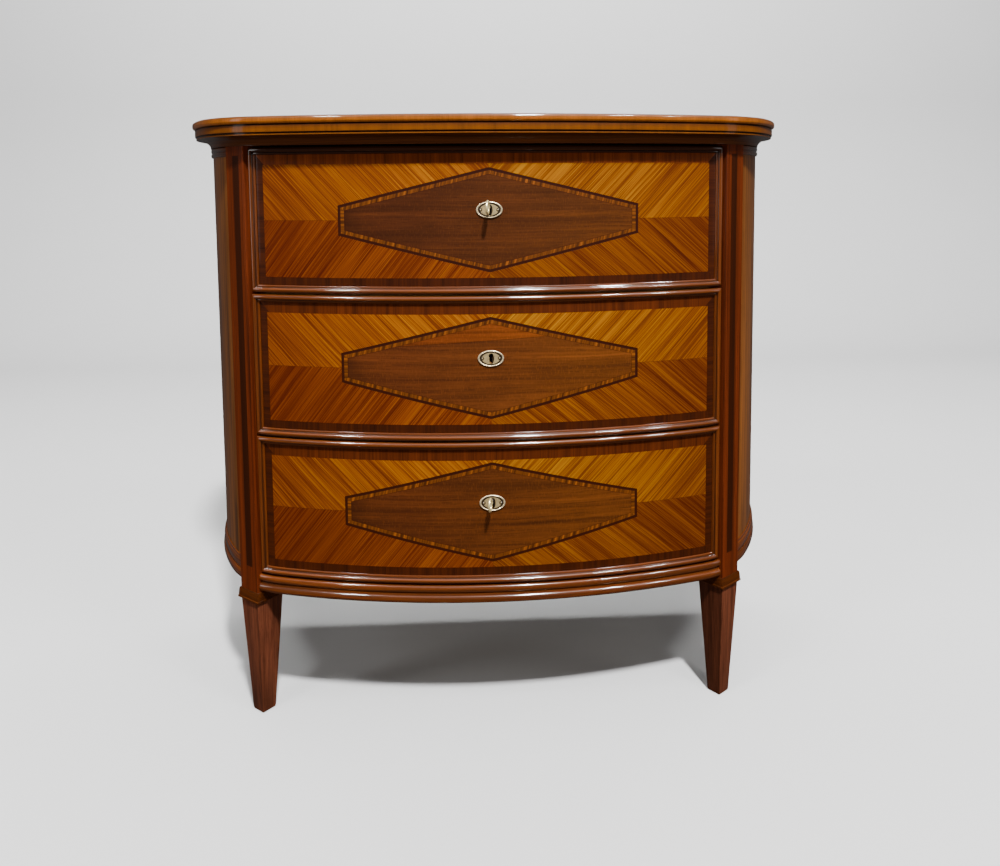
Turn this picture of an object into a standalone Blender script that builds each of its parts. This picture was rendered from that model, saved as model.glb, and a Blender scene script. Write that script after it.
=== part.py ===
"""Demilune chest of three drawers, standing on four tapered legs.

The case has a half-round plan. Its face is three arcs a side and a short straight return, and every
curved piece (drawer fronts, mouldings, side panels) is made flat and then wrapped round that face.
Metres, +Z up, front towards -Y, origin on the floor under the middle of the top.
"""
from math import cos, pi, radians, sin, sqrt

import bmesh
import bpy
from mathutils import Matrix, Vector

CHEST_NAME = "demilune_chest_of_drawers"

# Fits and cuts
FIT = 0.0003                    # glue line, or the least gap between two pieces
OVERRUN = 0.010                 # how far a cutter reaches past what it cuts
MERGE_DISTANCE = 0.00001

# Plan of the drawer face
FRONT_RADIUS = 1.034            # shallow bow of the drawer fronts
CORNER_RADIUS = 0.129           # tight turn at the front legs
SIDE_RADIUS = 0.364             # gentler curve of the side panels
FRONT_ANGLE = radians(16.5)     # where the bow meets the turn
CORNER_ANGLE = radians(58.0)    # where the turn meets the side
SIDE_ANGLE = radians(90.0)      # where the side meets the return
SIDE_RETURN = 0.070             # straight run at the back of each side
ARC_STEPS = 8                   # facets in each arc of each half

# Heights, from the floor up
LEG_HEIGHT = 0.169
COLLAR_HEIGHT = 0.0148
COLLAR_TO_BASE = 0.0026         # from a collar's top to the bottom of the base moulding
DRAWER_HEIGHT = 0.194
DRAWER_COUNT = 3
DRAWER_GAP = 0.003
TOP_RECESS = 0.0025             # shadow gap over the top drawer
SLAB_THICKNESS = 0.0097

# Top slab
SLAB_OVERHANG = 0.0316
SLAB_NOSE = 0.0040

# Cornice under the slab, each member from the top down
QUIRK_HEIGHT = 0.0017
FASCIA_HEIGHT = 0.0092
GROOVE_HEIGHT = 0.0020
FILLET_HEIGHT = 0.0018
COVE_HEIGHT = 0.0125
QUIRK_REACH = 0.0250            # how far each member stands out from the drawer face
FASCIA_REACH = 0.0283
GROOVE_REACH = 0.0253
FILLET_REACH = 0.0268
COVE_TOP_REACH = 0.0260
COVE_FOOT_REACH = 0.0070
COVE_STEPS = 6

# Base moulding, each member from the top down
RAIL_BEAD_HEIGHT = 0.0090
RAIL_BEAD_REACH = 0.0070
RAIL_GROOVE_HEIGHT = 0.0044
RAIL_GROOVE_REACH = 0.0028
RAIL_BAND_HEIGHT = 0.0103
RAIL_BAND_REACH = 0.0078
RAIL_SHOULDER = 0.0045          # where the bead and the band start to round over

# Base moulding of the sides, which stops higher than the front's
SIDE_BASE_RISE = 0.0091         # from the bottom of the front's base moulding
SIDE_BASE_GROOVE_HEIGHT = 0.0024
SIDE_BASE_GROOVE_REACH = 0.0064
SIDE_BASE_SHOULDER = 0.0074
SIDE_BASE_REACH = 0.0095
BEAD_STEPS = 5

# Front legs, which are also the corner posts
POST_ANGLE = radians(38.6)      # way the outer face looks, turned from straight ahead
POST_WIDTH = 0.038
POST_DEPTH = 0.042              # from the outer face inwards
POST_PROUD = 0.0085             # how far the outer face stands out from the drawer face
FOOT_WIDTH = 0.022
FOOT_FORWARD = 0.002            # the foot's middle stands out past the post's
POST_ARRIS = 0.0006             # eased edge
REAR_POST_WIDTH = 0.036
REAR_FOOT_WIDTH = 0.022
COLLAR_REACH = 0.0025
COLLAR_FILLET_HEIGHT = 0.0030
COLLAR_FILLET_STEP = 0.0007     # the lower fillet stands out past the ovolo
COLLAR_OVOLO_SHARE = 0.85       # of the reach
COLLAR_STEPS = 4

# Case boards
PANEL_THICKNESS = 0.018         # side panels and drawer fronts
DIVIDER_THICKNESS = 0.014
BOTTOM_THICKNESS = 0.018
FRONT_LAP = 0.0055              # how far a drawer front laps over the board behind its edge
BACK_THICKNESS = 0.010
BACK_SETBACK = 0.0055           # back panel and rear legs stand in from the edge of the slab
GUIDE_WIDTH = 0.016
GUIDE_HEIGHT = 0.010
GUIDE_CLEARANCE = 0.001
GUIDE_START_GAP = 0.012         # from the front leg to the guide
UNION_SINK = 0.001              # how deep a strip is let into the board it is glued to

# Side panels, which stand out past the drawer face, and their mouldings
SIDE_FACE_REACH = 0.0042
NECKING_HEIGHT = 0.0135
NECKING_ROOT_REACH = 0.0056
NECKING_REACH = 0.0070
NECKING_BEADS = 2
SIDE_BEAD_HEIGHT = 0.0100
SIDE_BEAD_REACH = 0.0080
SIDE_FILLET_HEIGHT = 0.0045
SIDE_FILLET_REACH = 0.0058

# Drawers
END_REVEAL = 0.001              # from the end of a drawer front to the post
MOULDING_WIDTH = 0.0098
MOULDING_HEIGHT = 0.0060
# The drawer moulding's section, outside to inside: shares of its width and of its height
MOULDING_SECTION_SHARES = (
    (0.00, 0.45), (0.07, 0.74), (0.19, 0.93), (0.35, 1.00),
    (0.51, 0.93), (0.64, 0.72), (0.71, 0.36), (1.00, 0.32))
DRAWER_TOP_CLEARANCE = 0.002
BOX_CLEARANCE = 0.003           # from the drawer side to the front leg's inner corner
BOX_SIDE_THICKNESS = 0.011
BOX_BACK_THICKNESS = 0.010
BOX_BACK_GAP = 0.012            # from the drawer's back to the case's back
BOX_BOTTOM_THICKNESS = 0.006
BOX_BOTTOM_RISE = 0.008         # the drawer bottom sits this far up its sides

# Lozenge of darker wood let into each drawer front
LOZENGE_HALF_LENGTH = 0.201
LOZENGE_HALF_HEIGHT = 0.069
LOZENGE_END_HALF_HEIGHT = 0.020
LOZENGE_THICKNESS = 0.0012

# Keyhole plate
PLATE_CENTRE_HEIGHT = 0.1104    # above the drawer's lower edge
PLATE_WIDTH = 0.0348
PLATE_HEIGHT = 0.0218
PLATE_THICKNESS = 0.0020
PLATE_RIM_WIDTH = 0.0025
PLATE_RECESS = 0.0010
PLATE_SEGMENTS = 32
PIN_SPACING = 0.0233
PIN_RADIUS = 0.0016
PIN_DOME = 0.0008
KEYHOLE_RISE = 0.0034           # keyhole's round part above the middle of the plate
KEYHOLE_RADIUS = 0.0027
KEYHOLE_SLOT_WIDTH = 0.0026
KEYHOLE_SLOT_LENGTH = 0.0100    # from the round part's centre down

# Lock
LOCK_WIDTH = 0.056
LOCK_DEPTH = 0.0125
LOCK_BELOW_KEY = 0.020
LOCK_TOP_GAP = 0.001
WARD_DEPTH = 0.0065             # pocket in which the key's bit turns
WARD_CLEARANCE = 0.0008
WARD_WALL = 0.0010
BOLT_WIDTH = 0.030
BOLT_THICKNESS = 0.0030
BOLT_SINK = 0.0005              # bolt's end below the top of the lock at rest
BOLT_BELOW_KEY = 0.006
STRIKE_CLEARANCE = 0.0004
STRIKE_DEPTH = 0.0100

# Keys
KEYED_DRAWERS = (1, 3)
STEM_RADIUS = 0.0020
STEM_END_GAP = 0.0010           # stem's inner end to the wall behind it
KEY_LENGTH_OUTSIDE = 0.027
BOW_HEIGHT = 0.0195
BOW_LENGTH = 0.0170
BOW_WIRE_RADIUS = 0.0015
BIT_REACH = 0.0092
BIT_THICKNESS = 0.0018
BIT_LENGTH = 0.0045
KEY_SHOULDER_RADIUS = 0.0033
KEY_SHOULDER_LENGTH = 0.0022
KEY_SHOULDER_GAP = 0.0006       # from the keyhole plate to the shoulder
KEY_SEGMENTS = 16
BOW_SEGMENTS = 24
BOW_WIRE_SEGMENTS = 8

# Sizes that follow
BASE_HEIGHT = RAIL_BEAD_HEIGHT + RAIL_GROOVE_HEIGHT + RAIL_BAND_HEIGHT
CORNICE_HEIGHT = QUIRK_HEIGHT + FASCIA_HEIGHT + GROOVE_HEIGHT + FILLET_HEIGHT + COVE_HEIGHT
BASE_BOTTOM = LEG_HEIGHT + COLLAR_HEIGHT + COLLAR_TO_BASE
BASE_TOP = BASE_BOTTOM + BASE_HEIGHT
SIDE_BASE_BOTTOM = BASE_BOTTOM + SIDE_BASE_RISE
DRAWER_PITCH = DRAWER_HEIGHT + DRAWER_GAP
DRAWERS_BOTTOM = BASE_TOP + DRAWER_GAP
DRAWERS_TOP = DRAWERS_BOTTOM + DRAWER_COUNT * DRAWER_PITCH - DRAWER_GAP
CORNICE_BOTTOM = DRAWERS_TOP + TOP_RECESS
SLAB_BOTTOM = CORNICE_BOTTOM + CORNICE_HEIGHT
CHEST_HEIGHT = SLAB_BOTTOM + SLAB_THICKNESS
POST_TOP = CORNICE_BOTTOM - FIT
KEYHOLE_HEIGHT = PLATE_CENTRE_HEIGHT + KEYHOLE_RISE
BOX_FLOOR = FRONT_LAP + FIT     # the drawer box's lower edge above the drawer front's
BOX_HEIGHT = DRAWER_PITCH - DIVIDER_THICKNESS - FIT - DRAWER_TOP_CLEARANCE
BOX_TOP = BOX_FLOOR + BOX_HEIGHT
LOCK_TOP = BOX_TOP - LOCK_TOP_GAP
BOLT_CHANNEL_START = WARD_DEPTH + WARD_WALL


def outward(angle):
    """Unit vector that points out of the face where its normal is turned by this angle."""
    return Vector((sin(angle), -cos(angle)))


def plan_stations():
    """Running length, point and outward normal along the drawer face, left back to right back."""
    half = [(0.0, Vector((0.0, 0.0)), outward(0.0))]
    arcs = ((FRONT_RADIUS, 0.0, FRONT_ANGLE),
            (CORNER_RADIUS, FRONT_ANGLE, CORNER_ANGLE),
            (SIDE_RADIUS, CORNER_ANGLE, SIDE_ANGLE))
    for radius, start, end in arcs:
        first_run, first_point, first_normal = half[-1]
        centre = first_point - radius * first_normal
        for step in range(1, ARC_STEPS + 1):
            turn = (end - start) * step / ARC_STEPS
            normal = outward(start + turn)
            half.append((first_run + radius * turn, centre + radius * normal, normal))
    run, point, normal = half[-1]
    half.append((run + SIDE_RETURN, point + Vector((0.0, SIDE_RETURN)), normal))
    left = [(-run, Vector((-p.x, p.y)), Vector((-n.x, n.y))) for run, p, n in half[:0:-1]]
    return left + half


STATIONS = plan_stations()
FACE_RUN = STATIONS[-1][0]                      # from the middle of the front to the back
CASE_BACK = STATIONS[-1][1].y                   # from the middle of the face to the slab's back edge
CHEST_DEPTH = SLAB_OVERHANG + CASE_BACK
POST_RUN = FRONT_RADIUS * FRONT_ANGLE + CORNER_RADIUS * (POST_ANGLE - FRONT_ANGLE)
REAR_POST_FRONT = CASE_BACK - BACK_SETBACK - REAR_POST_WIDTH
SIDE_RUN = FACE_RUN - (CASE_BACK - REAR_POST_FRONT) - FIT
BOARD_BACK = CASE_BACK - BACK_SETBACK - BACK_THICKNESS - FIT
FRONT_RUN = POST_RUN - POST_WIDTH / 2 - END_REVEAL
LOCK_FACE = PANEL_THICKNESS + FIT + (FRONT_RADIUS - PANEL_THICKNESS) - sqrt(
    (FRONT_RADIUS - PANEL_THICKNESS) ** 2 - (LOCK_WIDTH / 2) ** 2)
BOX_BACK_OUTSIDE = BOARD_BACK - BOX_BACK_GAP


def on_plan(run, reach):
    """Plan point at a running length along the face, standing out from it by a reach."""
    for (run_a, point_a, normal_a), (run_b, point_b, normal_b) in zip(STATIONS, STATIONS[1:]):
        if run <= run_b:
            break
    share = (run - run_a) / (run_b - run_a)
    return (point_a + reach * normal_a).lerp(point_b + reach * normal_b, share)


POST_CENTRE = on_plan(POST_RUN, POST_PROUD - POST_DEPTH / 2)
POST_BACK_MIDDLE = POST_CENTRE - outward(POST_ANGLE) * POST_DEPTH / 2
POST_HALF_SIDE = Vector((cos(POST_ANGLE), sin(POST_ANGLE))) * POST_WIDTH / 2
POST_INNER_CORNER = POST_BACK_MIDDLE - POST_HALF_SIDE
POST_BACK_CORNER = POST_BACK_MIDDLE + POST_HALF_SIDE
BOX_HALF_WIDTH = POST_INNER_CORNER.x - BOX_CLEARANCE
REAR_POST_CENTRE = Vector((STATIONS[-1][1].x - REAR_POST_WIDTH / 2, REAR_POST_FRONT + REAR_POST_WIDTH / 2))

# Clear the file and make the collections
for old in list(bpy.data.objects):
    bpy.data.objects.remove(old, do_unlink=True)
parts = bpy.data.collections.new(CHEST_NAME)
cutters = bpy.data.collections.new("cutters")
bpy.context.scene.collection.children.link(parts)
bpy.context.scene.collection.children.link(cutters)


def finish(name, colour, roughness, metallic=0.0):
    """A plain surface with the piece's colour."""
    material = bpy.data.materials.new(name)
    material.use_nodes = True
    shader = material.node_tree.nodes["Principled BSDF"]
    shader.inputs["Base Color"].default_value = (*colour, 1.0)
    shader.inputs["Roughness"].default_value = roughness
    shader.inputs["Metallic"].default_value = metallic
    return material


FINISHES = {
    "top": finish("polished_tulipwood_top", (0.42, 0.13, 0.03), 0.16),
    "moulding": finish("dark_moulding", (0.16, 0.05, 0.02), 0.2),
    "cornice": finish("cornice_wood", (0.20, 0.06, 0.02), 0.2),
    "leg": finish("leg_wood", (0.17, 0.05, 0.02), 0.22),
    "panel": finish("side_veneer", (0.25, 0.08, 0.02), 0.2),
    "front": finish("tulipwood_front", (0.42, 0.12, 0.02), 0.18),
    "lozenge": finish("walnut_lozenge", (0.11, 0.04, 0.02), 0.2),
    "carcase": finish("carcase_pine", (0.45, 0.28, 0.14), 0.6),
    "oak": finish("drawer_oak", (0.40, 0.26, 0.13), 0.55),
    "plate": finish("keyhole_brass", (0.72, 0.60, 0.38), 0.3, 1.0),
    "key": finish("key_brass", (0.70, 0.48, 0.20), 0.28, 1.0),
    "steel": finish("lock_iron", (0.18, 0.17, 0.16), 0.45, 1.0),
}


def empty(name, parent=None, location=(0.0, 0.0, 0.0)):
    """A named axis to hang pieces on."""
    axis = bpy.data.objects.new(name, None)
    axis.parent = parent
    axis.location = location
    parts.objects.link(axis)
    return axis


def add_piece(name, mesh, finish_name, parent, location=(0.0, 0.0, 0.0), turn=0.0):
    """One sub-part of the chest."""
    piece = bpy.data.objects.new(name, mesh)
    piece.parent = parent
    piece.location = location
    piece.rotation_euler = (0.0, 0.0, turn)
    mesh.materials.clear()
    mesh.materials.append(FINISHES[finish_name])
    parts.objects.link(piece)
    return piece


def add_cutter(name, mesh, parent, location=(0.0, 0.0, 0.0), turn=0.0):
    """A shape that is only used in a Boolean."""
    cutter = bpy.data.objects.new(name, mesh)
    cutter.parent = parent
    cutter.location = location
    cutter.rotation_euler = (0.0, 0.0, turn)
    cutter.hide_render = True
    cutter.display_type = 'WIRE'
    cutters.objects.link(cutter)
    return cutter


def combine(piece, tools, operation='DIFFERENCE'):
    """Cut a piece by its tools, or join them to it."""
    for tool in tools:
        boolean = piece.modifiers.new(operation.lower() + "_" + tool.name, 'BOOLEAN')
        boolean.operation = operation
        boolean.solver = 'EXACT'
        boolean.object = tool
    return piece


def mesh_from(bm, name):
    """Turn working geometry into a mesh with its faces pointing out."""
    bmesh.ops.remove_doubles(bm, verts=bm.verts, dist=MERGE_DISTANCE)
    bmesh.ops.recalc_face_normals(bm, faces=bm.faces)
    mesh = bpy.data.meshes.new(name)
    bm.to_mesh(mesh)
    bm.free()
    return mesh


def block(name, low, high):
    """A box between two corners."""
    bm = bmesh.new()
    bmesh.ops.create_cube(bm, size=1.0)
    low, high = Vector(low), Vector(high)
    bmesh.ops.scale(bm, vec=high - low, verts=bm.verts)
    bmesh.ops.translate(bm, vec=(low + high) / 2, verts=bm.verts)
    return mesh_from(bm, name)


def rod(name, radius, start, end, segments):
    """A round bar along Y, from start to end."""
    bm = bmesh.new()
    bmesh.ops.create_cone(bm, cap_ends=True, segments=segments, radius1=radius, radius2=radius,
                          depth=end - start, matrix=Matrix.Rotation(pi / 2, 4, 'X'))
    bmesh.ops.translate(bm, vec=(0.0, (start + end) / 2, 0.0), verts=bm.verts)
    return mesh_from(bm, name)


def outline_solid(name, outline, thickness):
    """A flat outline in XY given a thickness, half above and half below the XY plane."""
    curve = bpy.data.curves.new(name, 'CURVE')
    curve.dimensions = '2D'
    curve.fill_mode = 'BOTH'
    curve.extrude = thickness / 2
    curve.render_resolution_u = 0
    spline = curve.splines.new('POLY')
    spline.points.add(len(outline) - 1)
    for point, (x, y) in zip(spline.points, outline):
        point.co = (x, y, 0.0, 1.0)
    spline.use_cyclic_u = True
    drawn = bpy.data.objects.new(name, curve)
    cutters.objects.link(drawn)
    bpy.context.view_layer.update()
    graph = bpy.context.evaluated_depsgraph_get()
    solid = bpy.data.meshes.new_from_object(drawn.evaluated_get(graph))
    bpy.data.objects.remove(drawn, do_unlink=True)
    bpy.data.curves.remove(curve)
    bm = bmesh.new()
    bm.from_mesh(solid)
    bpy.data.meshes.remove(solid)
    return mesh_from(bm, name)


def wrap(mesh):
    """Wrap a flat piece round the face: X runs along it, Y is height and Z stands out from it."""
    bm = bmesh.new()
    bm.from_mesh(mesh)
    runs = [vertex.co.x for vertex in bm.verts]
    for run, _, _ in STATIONS:
        if min(runs) < run < max(runs):
            bmesh.ops.bisect_plane(bm, geom=bm.verts[:] + bm.edges[:] + bm.faces[:], dist=MERGE_DISTANCE,
                                   plane_co=(run, 0.0, 0.0), plane_no=(1.0, 0.0, 0.0))
    for vertex in bm.verts:
        run, height, reach = vertex.co
        place = on_plan(run, reach)
        vertex.co = (place.x, place.y, height)
    bm.to_mesh(mesh)
    bm.free()
    return mesh


def moulded(name, section, start, end):
    """A section of (reach, height) points run along the face from one running length to another."""
    mesh = outline_solid(name, section, end - start)
    mesh.transform(Matrix.Translation(((start + end) / 2, 0.0, 0.0)) @ Matrix.Rotation(-pi / 2, 4, 'Y'))
    return wrap(mesh)


def sheet(name, outline, back, front):
    """An outline of (run, height) points laid on the face, from one reach to another."""
    mesh = outline_solid(name, outline, front - back)
    mesh.transform(Matrix.Translation((0.0, 0.0, (back + front) / 2)))
    return wrap(mesh)


def half_round(base, crest, low, high, steps):
    """Points of a bead that swells from base to crest between two heights, from the top down."""
    middle, half = (low + high) / 2, (high - low) / 2
    turns = [pi * step / steps for step in range(steps + 1)]
    return [(base + (crest - base) * sin(turn), middle + half * cos(turn)) for turn in turns]


def board(name, setback, bottom, top):
    """A board that fills the plan, set back from the face."""
    outline = [point - setback * normal for _, point, normal in STATIONS[1:-1]]
    side = outline[-1].x
    outline = [Vector((-side, BOARD_BACK))] + outline + [Vector((side, BOARD_BACK))]
    mesh = outline_solid(name, [tuple(point) for point in outline], top - bottom)
    mesh.transform(Matrix.Translation((0.0, 0.0, (bottom + top) / 2)))
    return mesh


def slab_outline():
    """Plan of the top slab, left too deep at the back."""
    outline = [point + SLAB_OVERHANG * normal for _, point, normal in STATIONS]
    outline[0].y += OVERRUN
    outline[-1].y += OVERRUN
    return [tuple(point) for point in outline]


def cornice_section():
    """Section of the cornice, from its top outside corner down and back up inside."""
    top = SLAB_BOTTOM - FIT
    quirk = SLAB_BOTTOM - QUIRK_HEIGHT
    fascia = quirk - FASCIA_HEIGHT
    groove = fascia - GROOVE_HEIGHT
    fillet = groove - FILLET_HEIGHT
    section = [(QUIRK_REACH, top), (QUIRK_REACH, quirk), (FASCIA_REACH, quirk), (FASCIA_REACH, fascia),
               (GROOVE_REACH, fascia), (GROOVE_REACH, groove), (FILLET_REACH, groove), (FILLET_REACH, fillet)]
    depth = COVE_TOP_REACH - COVE_FOOT_REACH
    for step in range(COVE_STEPS + 1):
        turn = pi / 2 * step / COVE_STEPS
        section.append((COVE_FOOT_REACH + depth * (1 - sin(turn)), CORNICE_BOTTOM + COVE_HEIGHT * cos(turn)))
    return section + [(-PANEL_THICKNESS, CORNICE_BOTTOM), (-PANEL_THICKNESS, top)]


def base_section():
    """Section of the front's base moulding."""
    bead_foot = BASE_TOP - RAIL_BEAD_HEIGHT
    band_top = bead_foot - RAIL_GROOVE_HEIGHT
    section = [(-PANEL_THICKNESS, BASE_BOTTOM), (-PANEL_THICKNESS, BASE_TOP)]
    section += half_round(RAIL_SHOULDER, RAIL_BEAD_REACH, bead_foot, BASE_TOP, BEAD_STEPS)
    section += [(RAIL_GROOVE_REACH, bead_foot), (RAIL_GROOVE_REACH, band_top)]
    return section + half_round(RAIL_SHOULDER, RAIL_BAND_REACH, BASE_BOTTOM, band_top, BEAD_STEPS)


def side_base_section():
    """Section of a side's base moulding: a groove over a rounded band."""
    band_top = BASE_TOP - SIDE_BASE_GROOVE_HEIGHT
    section = [(-PANEL_THICKNESS, SIDE_BASE_BOTTOM), (-PANEL_THICKNESS, BASE_TOP),
               (SIDE_BASE_GROOVE_REACH, BASE_TOP), (SIDE_BASE_GROOVE_REACH, band_top)]
    return section + half_round(SIDE_BASE_SHOULDER, SIDE_BASE_REACH, SIDE_BASE_BOTTOM, band_top, BEAD_STEPS)


def necking_section():
    """Two small beads under the cornice, on the side panel."""
    top = CORNICE_BOTTOM - FIT
    bottom = CORNICE_BOTTOM - NECKING_HEIGHT
    pitch = (top - bottom) / NECKING_BEADS
    root = SIDE_FACE_REACH + FIT
    section = [(root, bottom), (root, top)]
    for number in range(NECKING_BEADS):
        high = top - number * pitch
        section += half_round(NECKING_ROOT_REACH, NECKING_REACH, high - pitch, high, BEAD_STEPS)
    return section


def side_bead_section():
    """Bead and fillet along the foot of the side panel, level with the lowest drawer's moulding."""
    bottom = BASE_TOP + FIT
    bead_top = DRAWERS_BOTTOM + SIDE_BEAD_HEIGHT
    top = bead_top + SIDE_FILLET_HEIGHT
    root = SIDE_FACE_REACH + FIT
    section = [(root, bottom), (root, top), (SIDE_FILLET_REACH, top), (SIDE_FILLET_REACH, bead_top)]
    return section + half_round(SIDE_FILLET_REACH, SIDE_BEAD_REACH, bottom, bead_top, BEAD_STEPS)


def panel_section():
    """Section of a side panel."""
    bottom, top = BASE_TOP + FIT, CORNICE_BOTTOM - FIT
    return [(-PANEL_THICKNESS, bottom), (SIDE_FACE_REACH, bottom), (SIDE_FACE_REACH, top), (-PANEL_THICKNESS, top)]


def post_cutter_mesh(width, depth, clearance, outside=0.0):
    """Room for a post, with a clearance all round and over its end, and more on the side that faces out."""
    half_width, half_depth = width / 2 + clearance, depth / 2 + clearance
    return block("post_room", (-half_width, -half_depth - outside, LEG_HEIGHT),
                 (half_width, half_depth, POST_TOP + FIT))


def leg_mesh(name, width, depth, foot_width, foot_forward):
    """A post whose leg tapers to a square foot."""
    bm = bmesh.new()
    bmesh.ops.create_cube(bm, size=1.0)
    bmesh.ops.scale(bm, vec=(width, depth, POST_TOP - LEG_HEIGHT), verts=bm.verts)
    bmesh.ops.translate(bm, vec=(0.0, 0.0, (POST_TOP + LEG_HEIGHT) / 2), verts=bm.verts)
    under = min(bm.faces, key=lambda face: face.calc_center_median().z)
    taper = bmesh.ops.extrude_discrete_faces(bm, faces=[under])["faces"][0]
    bmesh.ops.scale(bm, vec=(foot_width / width, foot_width / depth, 1.0), verts=taper.verts)
    bmesh.ops.translate(bm, vec=(0.0, -foot_forward, -LEG_HEIGHT), verts=taper.verts)
    return mesh_from(bm, name)


def framed_mesh(name, half_width, half_depth, profile):
    """A mitred frame: a flat outline inset step by step along a profile of (inset, height) points."""
    bm = bmesh.new()
    bmesh.ops.create_grid(bm, x_segments=1, y_segments=1, size=1.0)
    bmesh.ops.scale(bm, vec=(half_width, half_depth, 1.0), verts=bm.verts)
    bmesh.ops.translate(bm, vec=(0.0, 0.0, profile[0][1]), verts=bm.verts)
    bm.faces.ensure_lookup_table()
    middle = bm.faces[0]
    for (inset_a, height_a), (inset_b, height_b) in zip(profile, profile[1:]):
        bmesh.ops.inset_region(bm, faces=[middle], thickness=inset_b - inset_a, depth=height_b - height_a,
                               use_even_offset=True, use_boundary=True)
    bmesh.ops.delete(bm, geom=[middle], context='FACES_ONLY')
    bmesh.ops.bridge_loops(bm, edges=[edge for edge in bm.edges if edge.is_boundary])
    return mesh_from(bm, name)


def collar_mesh(name, width, depth):
    """A ring round the post: an ovolo over a thin fillet."""
    widest = COLLAR_REACH + COLLAR_FILLET_STEP
    fillet_top = LEG_HEIGHT + COLLAR_FILLET_HEIGHT
    top = LEG_HEIGHT + COLLAR_HEIGHT
    ovolo = (COLLAR_REACH - FIT) * COLLAR_OVOLO_SHARE
    profile = [(0.0, LEG_HEIGHT), (0.0, fillet_top)]
    for step in range(COLLAR_STEPS + 1):
        turn = pi / 2 * step / COLLAR_STEPS
        profile.append((COLLAR_FILLET_STEP + ovolo * (1 - cos(turn)), fillet_top + (top - fillet_top) * sin(turn)))
    profile += [(widest - FIT, top), (widest - FIT, LEG_HEIGHT)]
    return framed_mesh(name, width / 2 + widest, depth / 2 + widest, profile)


def ease(piece, width, segments=1):
    """Round the sharp edges of a piece."""
    bevel = piece.modifiers.new("eased_edges", 'BEVEL')
    bevel.limit_method = 'ANGLE'
    bevel.angle_limit = radians(40.0)
    bevel.width = width
    bevel.segments = segments


def inset_outline(outline, distance):
    """A convex outline drawn in by a distance on every side."""
    points = [Vector(point) for point in outline]
    centre = sum(points, Vector((0.0, 0.0))) / len(points)
    moved = []
    for index, point in enumerate(points):
        before, after = points[index - 1] - point, points[(index + 1) % len(points)] - point
        inward = (before.normalized() + after.normalized()).normalized()
        half_angle = before.angle(after) / 2
        if inward.dot(centre - point) < 0.0:
            inward.negate()
        moved.append(tuple(point + inward * distance / sin(half_angle)))
    return moved


def lozenge_outline():
    """Six-sided lozenge, in running length and height above the drawer's lower edge."""
    middle = DRAWER_HEIGHT / 2
    return [(-LOZENGE_HALF_LENGTH, middle - LOZENGE_END_HALF_HEIGHT), (0.0, middle - LOZENGE_HALF_HEIGHT),
            (LOZENGE_HALF_LENGTH, middle - LOZENGE_END_HALF_HEIGHT),
            (LOZENGE_HALF_LENGTH, middle + LOZENGE_END_HALF_HEIGHT), (0.0, middle + LOZENGE_HALF_HEIGHT),
            (-LOZENGE_HALF_LENGTH, middle + LOZENGE_END_HALF_HEIGHT)]


def drawer_moulding_mesh(name):
    """Mitred frame of moulding, made flat and then wrapped."""
    profile = [(0.0, FIT)]
    profile += [(width_share * MOULDING_WIDTH, height_share * MOULDING_HEIGHT)
                for width_share, height_share in MOULDING_SECTION_SHARES]
    profile.append((MOULDING_WIDTH, FIT))
    mesh = framed_mesh(name, FRONT_RUN, DRAWER_HEIGHT / 2, profile)
    mesh.transform(Matrix.Translation((0.0, DRAWER_HEIGHT / 2, 0.0)))
    return wrap(mesh)


def plate_mesh(name):
    """Oval plate with a raised rim; Z stands out from the drawer."""
    bm = bmesh.new()
    bmesh.ops.create_cone(bm, cap_ends=True, segments=PLATE_SEGMENTS, radius1=1.0, radius2=1.0, depth=1.0)
    bmesh.ops.scale(bm, vec=(PLATE_WIDTH / 2, PLATE_HEIGHT / 2, PLATE_THICKNESS), verts=bm.verts)
    bmesh.ops.translate(bm, vec=(0.0, 0.0, PLATE_THICKNESS / 2 + FIT), verts=bm.verts)
    face = max(bm.faces, key=lambda face: face.calc_center_median().z)
    bmesh.ops.inset_region(bm, faces=[face], thickness=PLATE_RIM_WIDTH / 2, depth=0.0, use_even_offset=True)
    bmesh.ops.inset_region(bm, faces=[face], thickness=PLATE_RIM_WIDTH / 2, depth=-PLATE_RECESS,
                           use_even_offset=True)
    mesh = mesh_from(bm, name)
    mesh.transform(Matrix.Rotation(pi / 2, 4, 'X'))
    return mesh


def pin_mesh(name):
    """Domed head of a pin."""
    bm = bmesh.new()
    bmesh.ops.create_uvsphere(bm, u_segments=10, v_segments=6, radius=PIN_RADIUS)
    bmesh.ops.scale(bm, vec=(1.0, PIN_DOME / PIN_RADIUS, 1.0), verts=bm.verts)
    return mesh_from(bm, name)


def bow_mesh(name):
    """Oval ring of a key's bow, standing in the YZ plane."""
    bpy.ops.mesh.primitive_torus_add(major_segments=BOW_SEGMENTS, minor_segments=BOW_WIRE_SEGMENTS,
                                     major_radius=BOW_HEIGHT / 2 - BOW_WIRE_RADIUS, minor_radius=BOW_WIRE_RADIUS)
    ring = bpy.context.object
    mesh = ring.data
    mesh.name = name
    bpy.data.objects.remove(ring, do_unlink=True)
    mesh.transform(Matrix.Rotation(pi / 2, 4, 'Y'))
    mesh.transform(Matrix.Diagonal((1.0, BOW_LENGTH / BOW_HEIGHT, 1.0, 1.0)))
    return mesh


case = empty("case", None, (0.0, CHEST_DEPTH / 2 - CASE_BACK, 0.0))

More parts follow.
